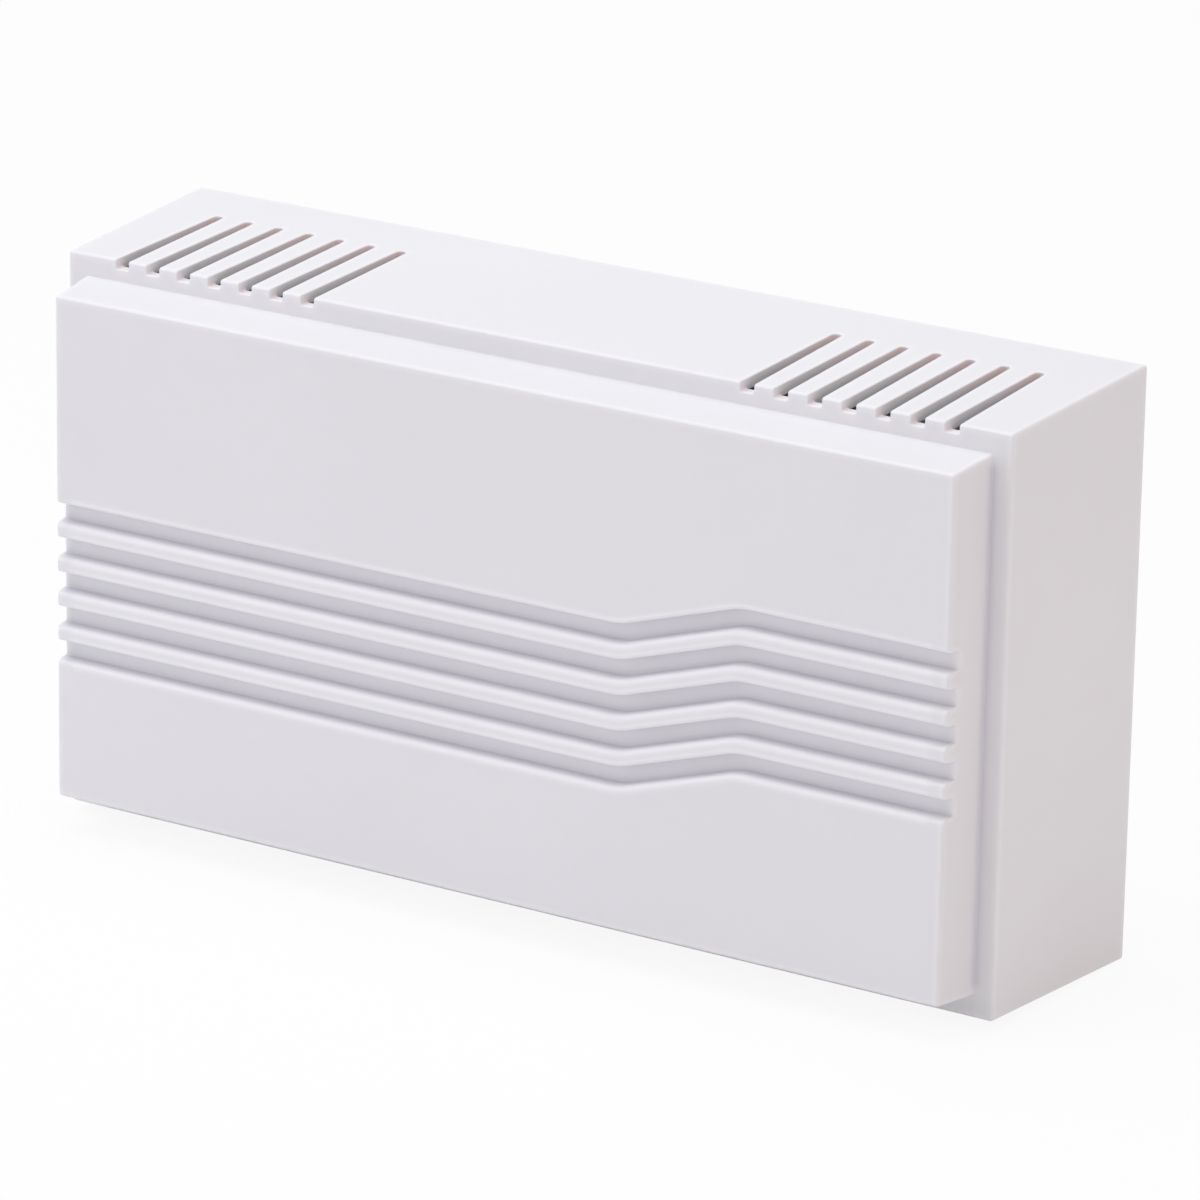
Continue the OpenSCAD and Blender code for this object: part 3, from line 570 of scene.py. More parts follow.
def add_grooved_face(skin):
    """Front of the panel inside its rounded edges."""
    half_w, half_h = panel_half(FRONT_D)
    end_x, end_z = half_w - CORNER_R, half_h - CORNER_R
    edge_x, edge_z = half_w - EDGE_R, half_h - EDGE_R
    bends = jog_columns()
    columns = [(-end_x, 0.0)] + bends + [(end_x, GROOVE_RISE)]

    def column(x, rise):
        inner = [(x, FRONT_D - cut, z + rise) for z, cut in groove_rows()]
        return [(x, FRONT_D, -end_z)] + inner + [(x, FRONT_D, end_z)]

    def end_column(sx, rise):
        inner = []
        for z, cut in groove_rows():
            inner.append((sx * (panel_half(FRONT_D - cut)[0] - EDGE_R), FRONT_D - cut, z + rise))
        return [(sx * edge_x, FRONT_D, -end_z)] + inner + [(sx * edge_x, FRONT_D, end_z)]

    chains = [end_column(-1, 0.0)] + [column(*c) for c in columns] + [end_column(1, GROOVE_RISE)]
    for left, right in zip(chains, chains[1:]):
        skin.strip(left, right)
    for sz in (-1, 1):
        inner = [(x, FRONT_D, sz * end_z) for x, _ in columns]
        skin.strip(inner, [(x, FRONT_D, sz * edge_z) for x, _ in columns])
        for sx in (-1, 1):
            r = CORNER_R - EDGE_R
            arc = [
                (sx * (end_x + r * math.cos(a)), FRONT_D, sz * (end_z + r * math.sin(a)))
                for a in arc_angles(PANEL_STEPS)
            ]
            skin.face([(sx * end_x, FRONT_D, sz * end_z)] + arc)


def add_step(skin, panel_foot):
    """Front of the step, between the box's front edge and the foot of the panel.

    The loop at the panel's foot is parted in the middle of its four corners.
    """
    arc = PANEL_STEPS + 1
    end_length = arc + len(groove_rows())
    side_length = arc + len(jog_columns())
    right_start = PANEL_STEPS // 2
    top_start = right_start + end_length
    left_start = top_start + side_length
    bottom_start = left_start + end_length
    right = panel_foot[right_start:top_start + 1]
    top = panel_foot[top_start:left_start + 1]
    left = panel_foot[left_start:bottom_start + 1]
    bottom = panel_foot[bottom_start:] + panel_foot[:right_start + 1]
    foot_z = NOTCH_Z - SLOT_ROUND
    foot_half = SLOT_FRONT_W / 2 - SLOT_CORNER
    outer_x = side_x(BOX_D)
    for sz, inner in ((1, list(reversed(top))), (-1, bottom)):
        feet = [centre + x for centre in slots_in(sz) for x in (-foot_half, 0.0, foot_half)]
        row = [-outer_x] + feet + [outer_x]
        skin.between([(x, BOX_D, sz * foot_z) for x in row], inner)
    foot = [face_station(z) for _, z in reversed(slot_foot_chain(SLOT_ROUND)[:-1])]
    for sx, inner in ((1, right), (-1, list(reversed(left)))):
        outer = []
        for sz in (-1, 1):
            margin = [(sx * outer_x, BOX_D, sz * st[1]) for st in foot]
            half = margin + corner_column(BOX_D, EDGE_R, sx, sz)
            outer += half if sz < 0 else list(reversed(half))
        skin.between(outer, inner)


def add_inside(skin):
    """Rear rim and inner walls of the box."""
    for sz in (-1, 1):
        rim_outer = [(x, 0.0, sz * (HALF_H - RIM_R)) for x in [-side_x(0)] + slots_in(sz) + [side_x(0)]]
        rim_inner = [(x, 0.0, sz * inner_z(0)) for x in [-inner_x(0)] + slots_in(sz) + [inner_x(0)]]
        skin.strip(rim_outer, rim_inner)
        tip = slot_tip_chain(0)
        tip_d = tip[0][1]
        tip_row = [-inner_x(tip_d)] + slots_in(sz) + [inner_x(tip_d)]
        skin.strip(rim_inner, [(x, tip_d, sz * inner_z(tip_d)) for x in tip_row])
        outline = tip + [(slot_half(INNER_D), INNER_D)]
        chains = [[(-inner_x(d), d, sz * inner_z(d)) for _, d in outline]]
        for centre in slots_in(sz):
            for side in (-1, 1):
                chains.append([(centre + side * x, d, sz * inner_z(d)) for x, d in outline])
        chains.append([(inner_x(d), d, sz * inner_z(d)) for _, d in outline])
        for left, right in zip(chains[0::2], chains[1::2]):
            skin.strip(left, right)
    depths = [0.0] + [d for _, d in slot_tip_chain(0)] + [INNER_D]
    for sx in (-1, 1):
        rim = corner_column(0.0, RIM_R, sx, -1) + list(reversed(corner_column(0.0, RIM_R, sx, 1)))
        skin.between(rim, [(sx * inner_x(0), 0.0, sz * inner_z(0)) for sz in (-1, 1)])
        lower = [(sx * inner_x(d), d, -inner_z(d)) for d in depths]
        skin.between(lower, [(x, d, -z) for x, d, z in lower])


def add_panel_inside(skin):
    """Inner front wall of the box, and the room inside the panel with the band that backs the grooves."""
    face_d = FRONT_D - WALL
    band_d = FRONT_D - GROOVE_DEPTH - GROOVE_BACKING
    band_top = GROOVE_Z + GROOVE_H / 2 + WALL
    band_low = GROOVE_Z - (GROOVE_COUNT - 1) * GROOVE_PITCH - GROOVE_H / 2 - WALL
    band = [(band_low, face_d), (band_low, band_d), (band_top, band_d), (band_top, face_d)]

    def room(d):
        half_w, half_h = panel_half(d)
        return half_w - WALL, half_h - WALL

    def rows(rise):
        front_z = room(face_d)[1]
        return [(-front_z, face_d)] + [(z + rise, d) for z, d in band] + [(front_z, face_d)]

    mouth_x, mouth_z = room(INNER_D)
    columns = [[(-room(d)[0], d, z) for z, d in rows(0.0)]]
    for x, rise in jog_columns():
        columns.append([(x, d, z) for z, d in rows(rise)])
    columns.append([(room(d)[0], d, z) for z, d in rows(GROOVE_RISE)])
    for left, right in zip(columns, columns[1:]):
        skin.strip(left, right)
    for sx, column in ((-1, columns[0]), (1, columns[-1])):
        mouth = [(sx * mouth_x, INNER_D, sz * mouth_z) for sz in (-1, 1)]
        skin.between(mouth, column)
        skin.between(mouth, [(sx * inner_x(INNER_D), INNER_D, sz * inner_z(INNER_D)) for sz in (-1, 1)])
    for sz, end in ((-1, 0), (1, -1)):
        mouth = [(sx * mouth_x, INNER_D, sz * mouth_z) for sx in (-1, 1)]
        skin.between(mouth, [column[end] for column in columns])
        edge = [(-inner_x(INNER_D), INNER_D, sz * inner_z(INNER_D))]
        for centre in slots_in(sz):
            left, right = (slot_ledge_chain(centre, side, sz) for side in (-1, 1))
            edge.append((centre - slot_half(INNER_D), INNER_D, sz * inner_z(INNER_D)))
            edge += left + list(reversed(right))
            edge.append((centre + slot_half(INNER_D), INNER_D, sz * inner_z(INNER_D)))
        edge.append((inner_x(INNER_D), INNER_D, sz * inner_z(INNER_D)))
        skin.between(mouth, edge)


def add_stop_ribs(skin):
    """Four ribs that stop the cover on the base, rooted in the top and the bottom."""
    front_d = INNER_D + RIB_ROOT
    for sz in (-1, 1):
        for middle in (-RIB_X, RIB_X):
            outline = [
                (RIB_REAR_D, inner_z(RIB_REAR_D) + RIB_ROOT), (front_d, inner_z(front_d) + RIB_ROOT),
                (front_d, inner_z(front_d) - RIB_H),
                (RIB_REAR_D + RIB_CHAMFER, inner_z(RIB_REAR_D) - RIB_H),
                (RIB_REAR_D, inner_z(RIB_REAR_D) - RIB_H + RIB_CHAMFER)
            ]
            sides = [[(middle + sx * RIB_T / 2, d, sz * z) for d, z in outline] for sx in (-1, 1)]
            for side in sides:
                skin.face(side)
            skin.strip(*[side + side[:1] for side in sides])


def make_cover():
    """The cover as one moulded skin."""
    skin = Skin()
    for sz in (-1, 1):
        add_slotted_face(skin, sz)
    add_box_corners(skin)
    add_step(skin, add_panel(skin))
    add_inside(skin)
    add_panel_inside(skin)
    add_stop_ribs(skin)
    cover = add_piece("cover_shell", skin.build("cover_shell"), "cover", cover_plastic())
    settle(cover, "cover", EDGE_DEGREES)


# Pieces inside the cover

def edited_copy(node, edit):
    """A copy of a node's mesh without doubled vertices, changed by a function of its bmesh."""
    mesh = NODES[node].data.copy()
    bm = bmesh.new()
    bm.from_mesh(mesh)
    bmesh.ops.remove_doubles(bm, verts=bm.verts, dist=MERGE * MM)
    edit(bm)
    bm.to_mesh(mesh)
    bm.free()
    return mesh


def join_flats(bm):
    """Makes one face of each flat."""
    flat = math.radians(FLAT_DEGREES)
    bmesh.ops.dissolve_limit(bm, angle_limit=flat, verts=bm.verts, edges=bm.edges)


def join_pairs(bm):
    """Makes quads of all pairs of triangles."""
    bmesh.ops.join_triangles(
        bm, faces=bm.faces, angle_face_threshold=math.pi, angle_shape_threshold=math.pi
    )


def refined(node, material, round_off):
    """A copy of a node's solid with its edges rounded off, which stands for the node."""
    piece = add_piece(f"{node}_finished", edited_copy(node, join_flats), node, material)
    bevel = piece.modifiers.new("rounded_edges", "BEVEL")
    bevel.width = round_off * MM
    bevel.segments = BEVEL_STEPS
    bevel.limit_method = "ANGLE"
    bevel.angle_limit = math.radians(EDGE_DEGREES)
    settle(piece, node)
    return piece


def add_lead(node, material):
    """A coil lead with a round section along its solid's route."""
    piece = add_piece(f"{node}_sleeve", edited_copy(node, join_pairs), node, material)
    rounder = piece.modifiers.new("round_section", "SUBSURF")
    rounder.levels = LEAD_ROUNDING
    rounder.render_levels = LEAD_ROUNDING
    settle(piece, node)


def round_node(node):
    """Ends, axis and outer radius of a node that lies round a line along x."""
    low, high = (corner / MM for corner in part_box(node))
    return low.x, high.x, -(low.y + high.y) / 2, (low.z + high.z) / 2, (high.z - low.z) / 2


def add_winding(node, material):
    """Turns of wire side by side round a bobbin, as one helical skin."""
    low_x, high_x, axis_d, axis_z, outer_r = round_node(node)
    turns = round((high_x - low_x) / WIRE_D)
    pitch = (high_x - low_x) / turns
    skin = Skin()

    def at(x, r, angle):
        return x, axis_d + r * math.cos(angle), axis_z + r * math.sin(angle)

    def on_turn(row, k):
        share = k / WINDING_SIDES
        x = low_x + (row / WIRE_STEPS + share) * pitch
        across = 2 * (row % WIRE_STEPS) / WIRE_STEPS - 1
        r = outer_r - WIRE_D / 2 * (1 - math.sqrt(1 - across * across))
        if x <= low_x + MERGE or x >= high_x - MERGE:
            x = min(max(x, low_x), high_x)
            r = outer_r - WIRE_D / 2
        return at(x, r, math.tau * share)

    rows = range(-WIRE_STEPS, turns * WIRE_STEPS + 1)
    chains = [[on_turn(row, k) for k in range(WINDING_SIDES + 1)] for row in rows]
    for rear, front in zip(chains, chains[1:]):
        skin.strip(rear, front)
    angles = [math.tau * k / WINDING_SIDES for k in range(WINDING_SIDES + 1)]
    bore = [[at(x, BOBBIN_TUBE_R, a) for a in angles] for x in (low_x, high_x)]
    rims = [[at(x, outer_r - WIRE_D / 2, a) for a in angles] for x in (low_x, high_x)]
    skin.strip(*bore)
    for rim, hole in zip(rims, bore):
        skin.strip(rim, hole)
    settle(add_piece(f"{node}_turns", skin.build(f"{node}_turns"), node, material), node)


def add_tape(node, material):
    """Tape lapped once round a winding, with the step where its end is stuck down."""
    low_x, high_x, axis_d, axis_z, outer_r = round_node(node)
    shares = [k / TAPE_SIDES for k in range(TAPE_SIDES + 1)]

    def ring(x, radius_at):
        points = []
        for share in shares:
            angle = TAPE_END_RADIANS + math.tau * share
            r = radius_at(share)
            points.append((x, axis_d + r * math.cos(angle), axis_z + r * math.sin(angle)))
        return points

    skin = Skin()
    inner = [ring(x, lambda share: outer_r - TAPE_T) for x in (low_x, high_x)]
    outer = [ring(x, lambda share: outer_r - TAPE_LAP * share) for x in (low_x, high_x)]
    skin.strip(*inner)
    skin.strip(*outer)
    for near, far in zip(inner, outer):
        skin.face([near[0], far[-1], far[0], far[1], near[1]])
        skin.strip(near[1:], far[1:])
    skin.face([outer[0][0], outer[1][0], outer[1][-1], outer[0][-1]])
    piece = add_piece(f"{node}_lapped", skin.build(f"{node}_lapped"), node, material)
    settle(piece, node, EDGE_DEGREES)


def add_spring(node, material):
    """A return spring of round wire, made to the length of its solid."""
    low_x, high_x, axis_d, axis_z, outer_r = round_node(node)
    first_x, last_x = low_x + SPRING_WIRE_R, high_x - SPRING_WIRE_R
    mean_r = outer_r - SPRING_WIRE_R
    skin = Skin()

    def centre_at(step):
        angle = math.tau * step / SPRING_STEPS
        x = first_x + (last_x - first_x) * step / (SPRING_TURNS * SPRING_STEPS)
        return Vector((x, axis_d - mean_r * math.cos(angle), axis_z + mean_r * math.sin(angle)))

    rings = []
    for step in range(SPRING_TURNS * SPRING_STEPS + 1):
        centre = centre_at(step)
        along = (centre_at(step + 1) - centre_at(step - 1)).normalized()
        out = (centre - Vector((centre.x, axis_d, axis_z))).normalized()
        side = along.cross(out)
        angles = [math.tau * k / SPRING_SIDES for k in range(SPRING_SIDES + 1)]
        rings.append([
            tuple(centre + (out * math.cos(a) + side * math.sin(a)) * SPRING_WIRE_R) for a in angles
        ])
    for near, far in zip(rings, rings[1:]):
        skin.strip(near, far)
    for end in (rings[0], rings[-1]):
        skin.face(end)
    piece = add_piece(f"{node}_coils", skin.build(f"{node}_coils"), node, material)
    smooth_shaded(piece)
    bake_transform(piece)


def make_inside():
    """Everything that the cover hides."""
    finishes = {
        "base_plastic": base_plastic(), "tone_steel": tone_steel(), "rubber": rubber(),
        "zinc_steel": zinc_steel(), "yoke_steel": yoke_steel(), "nylon": nylon(),
        "plunger_steel": plunger_steel(), "spring_steel": spring_steel(), "felt": felt(),
        "black_plastic": black_plastic(), "brass": brass(), "copper": copper(), "tape": tape(),
        "lead_sleeve": lead_sleeve()
    }
    for row in ("front", "rear"):
        add_winding(f"{row}_winding", finishes["copper"])
        add_tape(f"{row}_winding_tape", finishes["tape"])
        add_spring(f"{row}_spring", finishes["spring_steel"])
    for node in ("common_lead", "rear_coil_lead", "front_coil_lead"):
        add_lead(node, finishes["lead_sleeve"])
    for node, round_off in ROUND_OFF.items():
        piece = refined(node, finishes[SLOT_OF[node]], round_off)


# Materials

def new_material(name):
    """A material with its node tree, its shader and the object's own coordinates."""
    material = bpy.data.materials.new(name)
    material.use_nodes = True
    tree = material.node_tree
    shader = tree.nodes["Principled BSDF"]
    place = tree.nodes.new("ShaderNodeTexCoord").outputs["Object"]
    return material, tree, shader, place


def add_noise(tree, place, scale, detail=CLOUD_DETAIL, stretch=None):
    """Noise of a given number of features a metre, stretched along the axes where asked."""
    if stretch:
        mapping = tree.nodes.new("ShaderNodeMapping")
        mapping.inputs["Scale"].default_value = stretch
        tree.links.new(place, mapping.inputs["Vector"])
        place = mapping.outputs["Vector"]
    noise = tree.nodes.new("ShaderNodeTexNoise")
    noise.inputs["Scale"].default_value = scale
    noise.inputs["Detail"].default_value = detail
    tree.links.new(place, noise.inputs["Vector"])
    return noise.outputs["Fac"]


def add_ramp(tree, value, colours):
    """Colours spread evenly over the middle of a value from 0 to 1."""
    first, last = MIDDLE
    ramp = tree.nodes.new("ShaderNodeValToRGB")
    elements = ramp.color_ramp.elements
    while len(elements) < len(colours):
        elements.new(0.5)
    for k, (element, colour) in enumerate(zip(elements, colours)):
        element.position = first + (last - first) * k / (len(colours) - 1)
        element.color = (*colour, 1)
    tree.links.new(value, ramp.inputs["Fac"])
    return ramp.outputs["Color"]


def add_range(tree, value, low, high):
    """The middle of a value from 0 to 1 spread over a range."""
    spread = tree.nodes.new("ShaderNodeMapRange")
    spread.inputs["From Min"].default_value = MIDDLE[0]
    spread.inputs["From Max"].default_value = MIDDLE[1]
    spread.inputs["To Min"].default_value = low
    spread.inputs["To Max"].default_value = high
    tree.links.new(value, spread.inputs["Value"])
    return spread.outputs["Result"]


def add_openness(tree, reach, inside):
    """Share of open space within a reach of a point: 1 on a flat, and less in an inner corner.

    Looking inside the piece, it is less at an outer edge.
    """
    openness = tree.nodes.new("ShaderNodeAmbientOcclusion")
    openness.samples = OPENNESS_SAMPLES
    openness.inside = inside
    openness.only_local = True
    openness.inputs["Distance"].default_value = reach * MM
    return openness.outputs["AO"]


def add_share(tree, value, none, full):
    """A share from 0 to 1 as a value goes from none to full."""
    share = tree.nodes.new("ShaderNodeMapRange")
    share.inputs["From Min"].default_value = none
    share.inputs["From Max"].default_value = full
    tree.links.new(value, share.inputs["Value"])
    return share.outputs["Result"]


def add_zone(tree, place, edge, fade):
    """A share by place that fades in at an edge."""
    none, full = ((edge + past) * MM for past in fade)
    return add_share(tree, place, none, full)


def add_axes(tree, vector):
    """The x, y and z of a vector."""
    axes = tree.nodes.new("ShaderNodeSeparateXYZ")
    tree.links.new(vector, axes.inputs["Vector"])
    return [axes.outputs[name] for name in "XYZ"]


def add_math(tree, operation, *values):
    """One operation on one or two values."""
    step = tree.nodes.new("ShaderNodeMath")
    step.operation = operation
    for value, socket in zip(values, step.inputs):
        tree.links.new(value, socket)
    return step.outputs["Value"]


def add_both(tree, first, second):
    """Two shares multiplied together."""
    return add_math(tree, "MULTIPLY", first, second)


def add_mix(tree, share, colour, other):
    """A colour that turns to another one by a share."""
    mix = tree.nodes.new("ShaderNodeMix")
    mix.data_type = "RGBA"
    sockets = {socket.identifier: socket for socket in [*mix.inputs, *mix.outputs]}
    sockets["B_Color"].default_value = (*other, 1)
    tree.links.new(share, sockets["Factor_Float"])
    tree.links.new(colour, sockets["A_Color"])
    return sockets["Result_Color"]


def add_bump(tree, shader, height, strength):
    """A fine relief on a shader."""
    bump = tree.nodes.new("ShaderNodeBump")
    bump.inputs["Strength"].default_value = strength
    bump.inputs["Distance"].default_value = GRAIN_DEPTH * MM
    tree.links.new(height, bump.inputs["Height"])
    tree.links.new(bump.outputs["Normal"], shader.inputs["Normal"])


def cover_plastic():
    """White satin moulded plastic with a fine grain, a painted highlight along its edges, and painted shade
    in its corners, on the ledges of its grooves and on the walls of its sound slots.
    """
    material, tree, shader, place = new_material("cover_plastic")
    whites = [(0.795, 0.795, 0.815), (0.82, 0.82, 0.84)]
    # The pale edge colour is a painted highlight; the pink slot colour and the two darker colours are
    # painted shade.
    painted_edge_highlight, painted_slot_shade = (0.96, 0.96, 0.975), (0.93, 0.765, 0.76)
    painted_corner_shade, painted_ledge_shade = (0.668, 0.655, 0.722), (0.61, 0.597, 0.66)
    x, y, z = add_axes(tree, place)
    across, height = add_math(tree, "ABSOLUTE", x), add_math(tree, "ABSOLUTE", z)
    normal = tree.nodes.new("ShaderNodeNewGeometry").outputs["Normal"]
    facing_up = add_share(tree, add_axes(tree, normal)[2], none=0.2, full=0.7)
    openness = add_openness(tree, CORNER_REACH, inside=False)

    panel_x, panel_z = panel_half(FRONT_D)
    floor_y = GROOVE_DEPTH - FRONT_D
    ribs_z = (GROOVE_COUNT - 1) * GROOVE_PITCH + GROOVE_H / 2 - GROOVE_Z
    first_slot_x = TOP_SLOTS[SLOT_COUNT]
    on_panel = add_zone(tree, height, panel_z, PANEL_FADE)
    on_ribs = add_both(
        tree, add_zone(tree, height, ribs_z, RIBS_FADE), add_zone(tree, across, panel_x, RIB_ENDS_FADE)
    )
    in_grooves = add_both(tree, add_zone(tree, y, floor_y, GROOVES_FADE), on_panel)
    behind_grooves = add_zone(tree, y, floor_y, STEP_FADE)
    at_slots = add_both(
        tree, add_zone(tree, z, NOTCH_Z, SLOT_FEET_FADE),
        add_zone(tree, across, first_slot_x, SLOT_SIDES_FADE)
    )

    colour = add_ramp(tree, add_noise(tree, place, scale=14.0), whites)
    # Painted highlight: the cover's outer edges turn paler, fully on the grooved ribs and at 0.3 of that
    # elsewhere, standing in for the light they catch.
    edges = add_share(tree, add_openness(tree, COVER_EDGE_REACH, inside=True), *COVER_EDGES)
    highlight_strength = add_range(tree, on_ribs, low=0.3, high=1.0)
    colour = add_mix(tree, add_both(tree, edges, highlight_strength), colour, painted_edge_highlight)
    # Painted shade: inner corners within the panel's height are tinted darker, at full strength from about
    # 2 mm behind the groove floors back to the wall, and at 0.6 of it further forward.
    corners = add_both(tree, add_share(tree, openness, *CORNERS), on_panel)
    corner_shade_strength = add_range(tree, behind_grooves, low=0.6, high=1.0)
    colour = add_mix(tree, add_both(tree, corners, corner_shade_strength), colour, painted_corner_shade)
    # Painted shade: upward-facing faces deep in the grooves, where little is open round them, are tinted
    # darker.
    ledges = add_both(tree, add_share(tree, openness, *LEDGES), add_both(tree, facing_up, in_grooves))
    colour = add_mix(tree, ledges, colour, painted_ledge_shade)
    # Painted shade: the hollow walls of the sound slots in the top take a pinkish tint where little is open
    # round them.
    slot_walls = add_both(tree, add_share(tree, openness, *SLOT_WALLS), at_slots)
    colour = add_mix(tree, slot_walls, colour, painted_slot_shade)
    tree.links.new(colour, shader.inputs["Base Color"])
    satin = add_range(tree, add_noise(tree, place, scale=60.0), low=0.42, high=0.52)
    tree.links.new(satin, shader.inputs["Roughness"])
    add_bump(tree, shader, add_noise(tree, place, scale=2600.0, detail=2.0), strength=0.06)
    return material


def mottled(
    name, scale, colours, roughness, bump, stretch=None, grain_scale=2500.0, edge_reach=None, sockets=None
):
    """A material with colours by clouds of noise, an uneven roughness and a fine relief.

    Where edge_reach is given, edges within it are worn paler. The values of sockets go on the shader.
    """
    material, tree, shader, place = new_material(name)
    colour = add_ramp(tree, add_noise(tree, place, scale, CLOUD_DETAIL, stretch), colours)
    if edge_reach:
        edges = add_share(tree, add_openness(tree, edge_reach, inside=True), *WORN_EDGES)
        colour = add_mix(tree, edges, colour, [min(c * EDGE_PALER, EDGE_PALEST) for c in colours[-1]])
    tree.links.new(colour, shader.inputs["Base Color"])
    grain = add_noise(tree, place, grain_scale, GRAIN_DETAIL, stretch)
    tree.links.new(add_range(tree, grain, *roughness), shader.inputs["Roughness"])
    add_bump(tree, shader, grain, bump)
    for socket, value in (sockets or {}).items():
        shader.inputs[socket].default_value = value
    return material


def base_plastic():
    """Off-white moulded plastic with a dull grain."""
    return mottled(
        "base_plastic", scale=18.0, colours=[(0.70, 0.69, 0.64), (0.74, 0.73, 0.68)],
        roughness=(0.45, 0.58), bump=0.12, edge_reach=0.8
    )


def tone_steel():
    """Rolled steel plate with fine lines along its length."""
    return mottled(
        "tone_steel", scale=25.0, colours=[(0.58, 0.59, 0.61), (0.66, 0.67, 0.69)],
        roughness=(0.24, 0.40), bump=0.10, stretch=(1.0, 1.0, 0.03), grain_scale=1800.0,
        edge_reach=0.6, sockets=METAL
    )


def rubber():
    """Soft black rubber with a faint bloom."""
    return mottled(
        "rubber", scale=220.0, colours=[(0.022, 0.022, 0.023), (0.045, 0.045, 0.046)],
        roughness=(0.68, 0.85), bump=0.25, edge_reach=0.5
    )


def zinc_steel():
    """Bright zinc plating with a faint yellow cast."""
    return mottled(
        "zinc_steel", scale=300.0, colours=[(0.64, 0.64, 0.62), (0.70, 0.68, 0.63), (0.66, 0.67, 0.66)],
        roughness=(0.22, 0.36), bump=0.08, edge_reach=0.3, sockets=METAL
    )


def yoke_steel():
    """Steel strip with yellow zinc plating, which runs from gold to green and pink."""
    return mottled(
        "yoke_steel", scale=70.0, colours=[(0.60, 0.62, 0.45), (0.66, 0.58, 0.38), (0.68, 0.53, 0.44)],
        roughness=(0.26, 0.40), bump=0.10, edge_reach=0.4, sockets=METAL
    )


def nylon():
    """Natural nylon, waxy and a little yellow."""
    return mottled(
        "nylon", scale=90.0, colours=[(0.80, 0.78, 0.69), (0.85, 0.83, 0.75)],
        roughness=(0.36, 0.48), bump=0.06, edge_reach=0.4,
        sockets={"Subsurface Weight": 0.1, "Subsurface Radius": [depth * MM for depth in NYLON_DEPTHS]}
    )


def plunger_steel():
    """Ground steel rod with fine lines round it."""
    return mottled(
        "plunger_steel", scale=500.0, colours=[(0.52, 0.53, 0.55), (0.60, 0.61, 0.63)],
        roughness=(0.20, 0.34), bump=0.08, stretch=(1.0, 0.02, 0.02), grain_scale=5000.0,
        edge_reach=0.4, sockets=METAL
    )


def spring_steel():
    """Drawn steel wire with slight colour from its heat treatment."""
    return mottled(
        "spring_steel", scale=350.0, colours=[(0.56, 0.55, 0.55), (0.63, 0.63, 0.65)],
        roughness=(0.20, 0.32), bump=0.05, sockets=METAL
    )


def felt():
    """Pressed wool felt of mixed fibres."""
    return mottled(
        "felt", scale=900.0, colours=[(0.13, 0.17, 0.14), (0.20, 0.24, 0.20), (0.29, 0.32, 0.28)],
        roughness=(0.90, 1.0), bump=0.9, grain_scale=3200.0, sockets={"Sheen Weight": 0.4}
    )


def black_plastic():
    """Black moulded phenolic with pale specks of its filler."""
    return mottled(
        "black_plastic", scale=700.0,
        colours=[(0.020, 0.020, 0.022), (0.030, 0.030, 0.034), (0.055, 0.053, 0.052)],
        roughness=(0.32, 0.46), bump=0.10, edge_reach=0.4
    )


def brass():
    """Stamped brass with a little tarnish."""
    return mottled(
        "brass", scale=140.0, colours=[(0.66, 0.47, 0.20), (0.78, 0.60, 0.27), (0.82, 0.65, 0.32)],
        roughness=(0.22, 0.38), bump=0.08, edge_reach=0.3, sockets=METAL
    )


def copper():
    """Enamelled copper wire, glossy under its enamel."""
    return mottled(
        "copper", scale=160.0, colours=[(0.62, 0.25, 0.12), (0.76, 0.36, 0.18)],
        roughness=(0.20, 0.32), bump=0.05, sockets={"Metallic": 1.0, "Coat Weight": 0.4}
    )


def tape():
    """Amber polyester tape with a few ripples."""
    return mottled(
        "tape", scale=60.0, colours=[(0.70, 0.53, 0.15), (0.80, 0.64, 0.22)],
        roughness=(0.18, 0.30), bump=0.30, grain_scale=260.0, sockets={"Coat Weight": 0.3}
    )


def lead_sleeve():
    """Varnished red sleeve over a wire, with a fine weave."""
    return mottled(
        "lead_sleeve", scale=1200.0, colours=[(0.30, 0.035, 0.03), (0.44, 0.07, 0.055)],
        roughness=(0.24, 0.40), bump=0.30, grain_scale=2200.0, sockets={"Coat Weight": 0.2}
    )


# Studio

def add_camera():
    """Camera at the photograph's angle."""
    azimuth, elevation, roll = (math.radians(a) for a in (VIEW_AZIMUTH, VIEW_ELEVATION, VIEW_ROLL))
    right = Vector((math.cos(azimuth), math.sin(azimuth), 0))
    ahead = Vector((-math.sin(azimuth), math.cos(azimuth), 0))
    back = Vector((0, 0, math.sin(elevation))) - ahead * math.cos(elevation)
    up = back.cross(right)
    axes = Matrix((
        right * math.cos(roll) + up * math.sin(roll), up * math.cos(roll) - right * math.sin(roll), back
    )).transposed()
    data = bpy.data.cameras.new("camera")
    data.sensor_width = SENSOR
    data.lens = LENS
    camera = bpy.data.objects.new("camera", data)
    camera.matrix_world = Matrix.Translation(VIEW_AIM + back * VIEW_DISTANCE) @ axes.to_4x4()
    bpy.context.scene.collection.objects.link(camera)
    bpy.context.scene.camera = camera


def add_seen_share(tree):
    """1 for the kinds of rays by which a thing is seen, and 0 for other rays."""
    path = tree.nodes.new("ShaderNodeLightPath")
    share = path.outputs[SEEN[0]]
    for kind in SEEN[1:]:
        share = add_math(tree, "MAXIMUM", share, path.outputs[kind])
    return share


def add_surface(tree, output, share, shader, other):
    """A surface whose shader turns to another one by a share."""
    mix = tree.nodes.new("ShaderNodeMixShader")
    for source, socket in zip((share, shader, other), mix.inputs):
        tree.links.new(source, socket)
    tree.links.new(mix.outputs["Shader"], tree.nodes[output].inputs["Surface"])


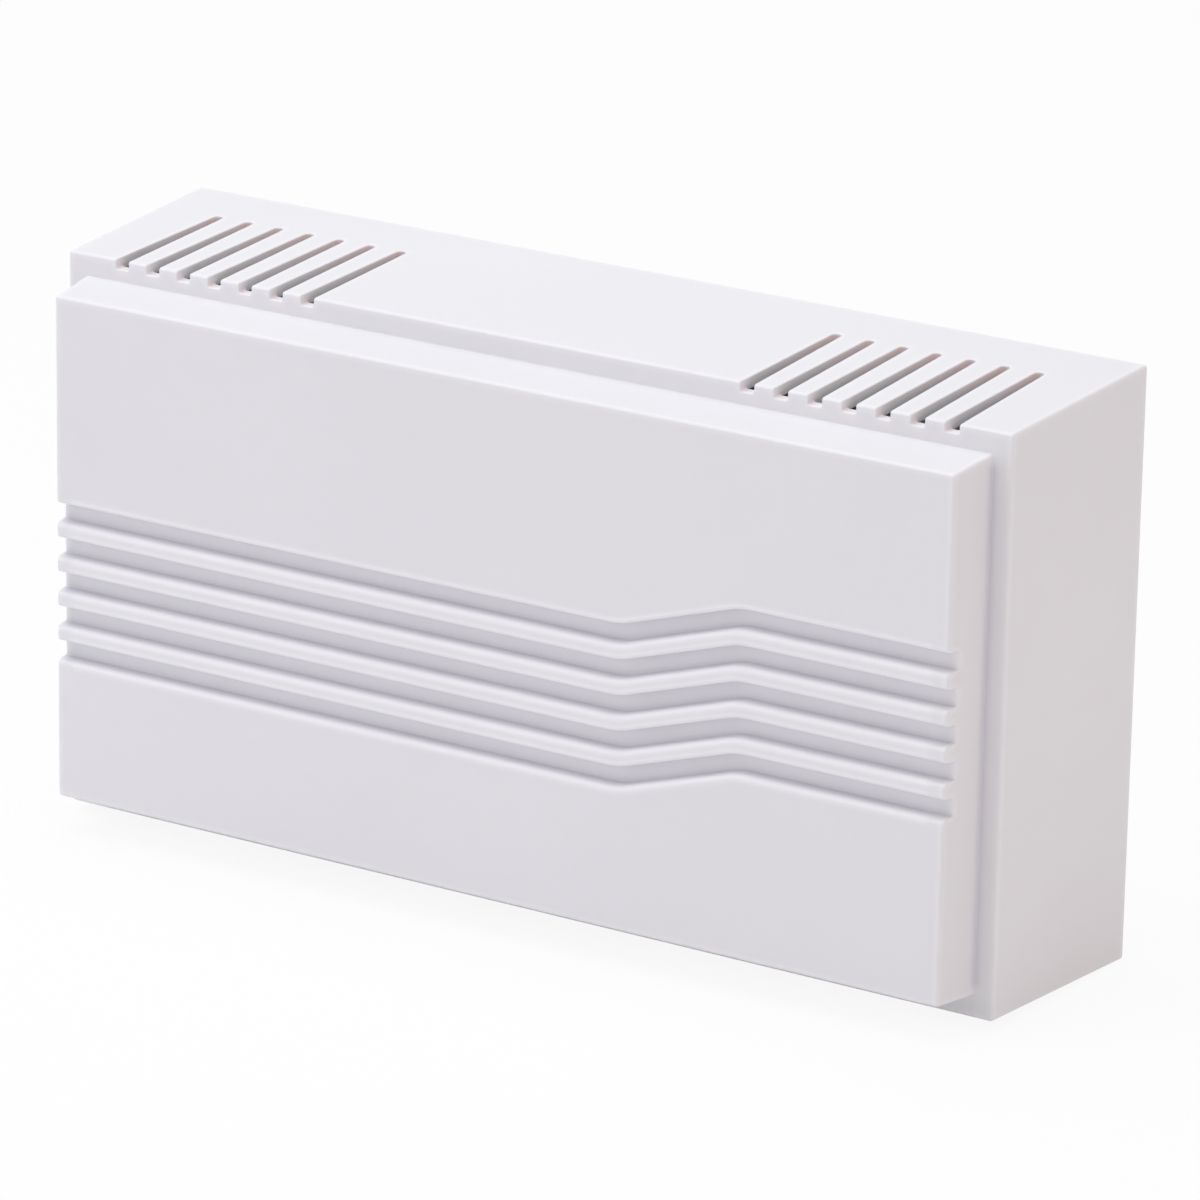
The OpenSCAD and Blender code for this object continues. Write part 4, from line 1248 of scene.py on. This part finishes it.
def add_world():
    """Even light from all round, which is seen as white."""
    world = bpy.data.worlds.new("studio")
    world.use_nodes = True
    tree = world.node_tree
    ambient = tree.nodes["Background"]
    ambient.inputs["Color"].default_value = AMBIENT_COLOUR
    ambient.inputs["Strength"].default_value = AMBIENT
    white = tree.nodes.new("ShaderNodeBackground")
    white.inputs["Color"].default_value = (1, 1, 1, 1)
    shaders = (node.outputs["Background"] for node in (ambient, white))
    add_surface(tree, "World Output", add_seen_share(tree), *shaders)
    bpy.context.scene.world = world


def floor_material():
    """Pale floor that is seen as nearly white and keeps a soft shadow."""
    material = bpy.data.materials.new("floor")
    material.use_nodes = True
    tree = material.node_tree
    tree.nodes.remove(tree.nodes["Principled BSDF"])
    diffuse = tree.nodes.new("ShaderNodeBsdfDiffuse")
    diffuse.inputs["Color"].default_value = FLOOR_COLOUR
    white = tree.nodes.new("ShaderNodeEmission")
    share = tree.nodes.new("ShaderNodeMath")
    share.operation = "MULTIPLY"
    share.inputs[1].default_value = FLOOR_WHITE_SHARE
    tree.links.new(add_seen_share(tree), share.inputs[0])
    shaders = diffuse.outputs["BSDF"], white.outputs["Emission"]
    add_surface(tree, "Material Output", share.outputs["Value"], *shaders)
    return material


def add_floor():
    """Level floor at the foot of the part."""
    mesh = bpy.data.meshes.new("floor")
    half = FLOOR_SIZE / 2
    height = cad_box[0].z
    corners = ((-half, -half, height), (half, -half, height), (half, half, height), (-half, half, height))
    mesh.from_pydata(corners, [], [(0, 1, 2, 3)])
    floor = bpy.data.objects.new("floor", mesh)
    mesh.materials.append(floor_material())
    bpy.context.scene.collection.objects.link(floor)


def add_softboxes():
    """Square lamps that point at the part."""
    for name, box in SOFTBOXES.items():
        data = bpy.data.lights.new(name, "AREA")
        data.size = box["size"]
        data.energy = box["watts"]
        data.color = box["colour"]
        light = bpy.data.objects.new(name, data)
        light.location = box["at"]
        light.rotation_mode = "QUATERNION"
        light.rotation_quaternion = (-Vector(box["at"])).to_track_quat("-Z", "Y")
        bpy.context.scene.collection.objects.link(light)


add_camera()
add_world()
add_floor()
add_softboxes()
make_cover()
make_inside()
bpy.context.scene.view_settings.view_transform = "Standard"
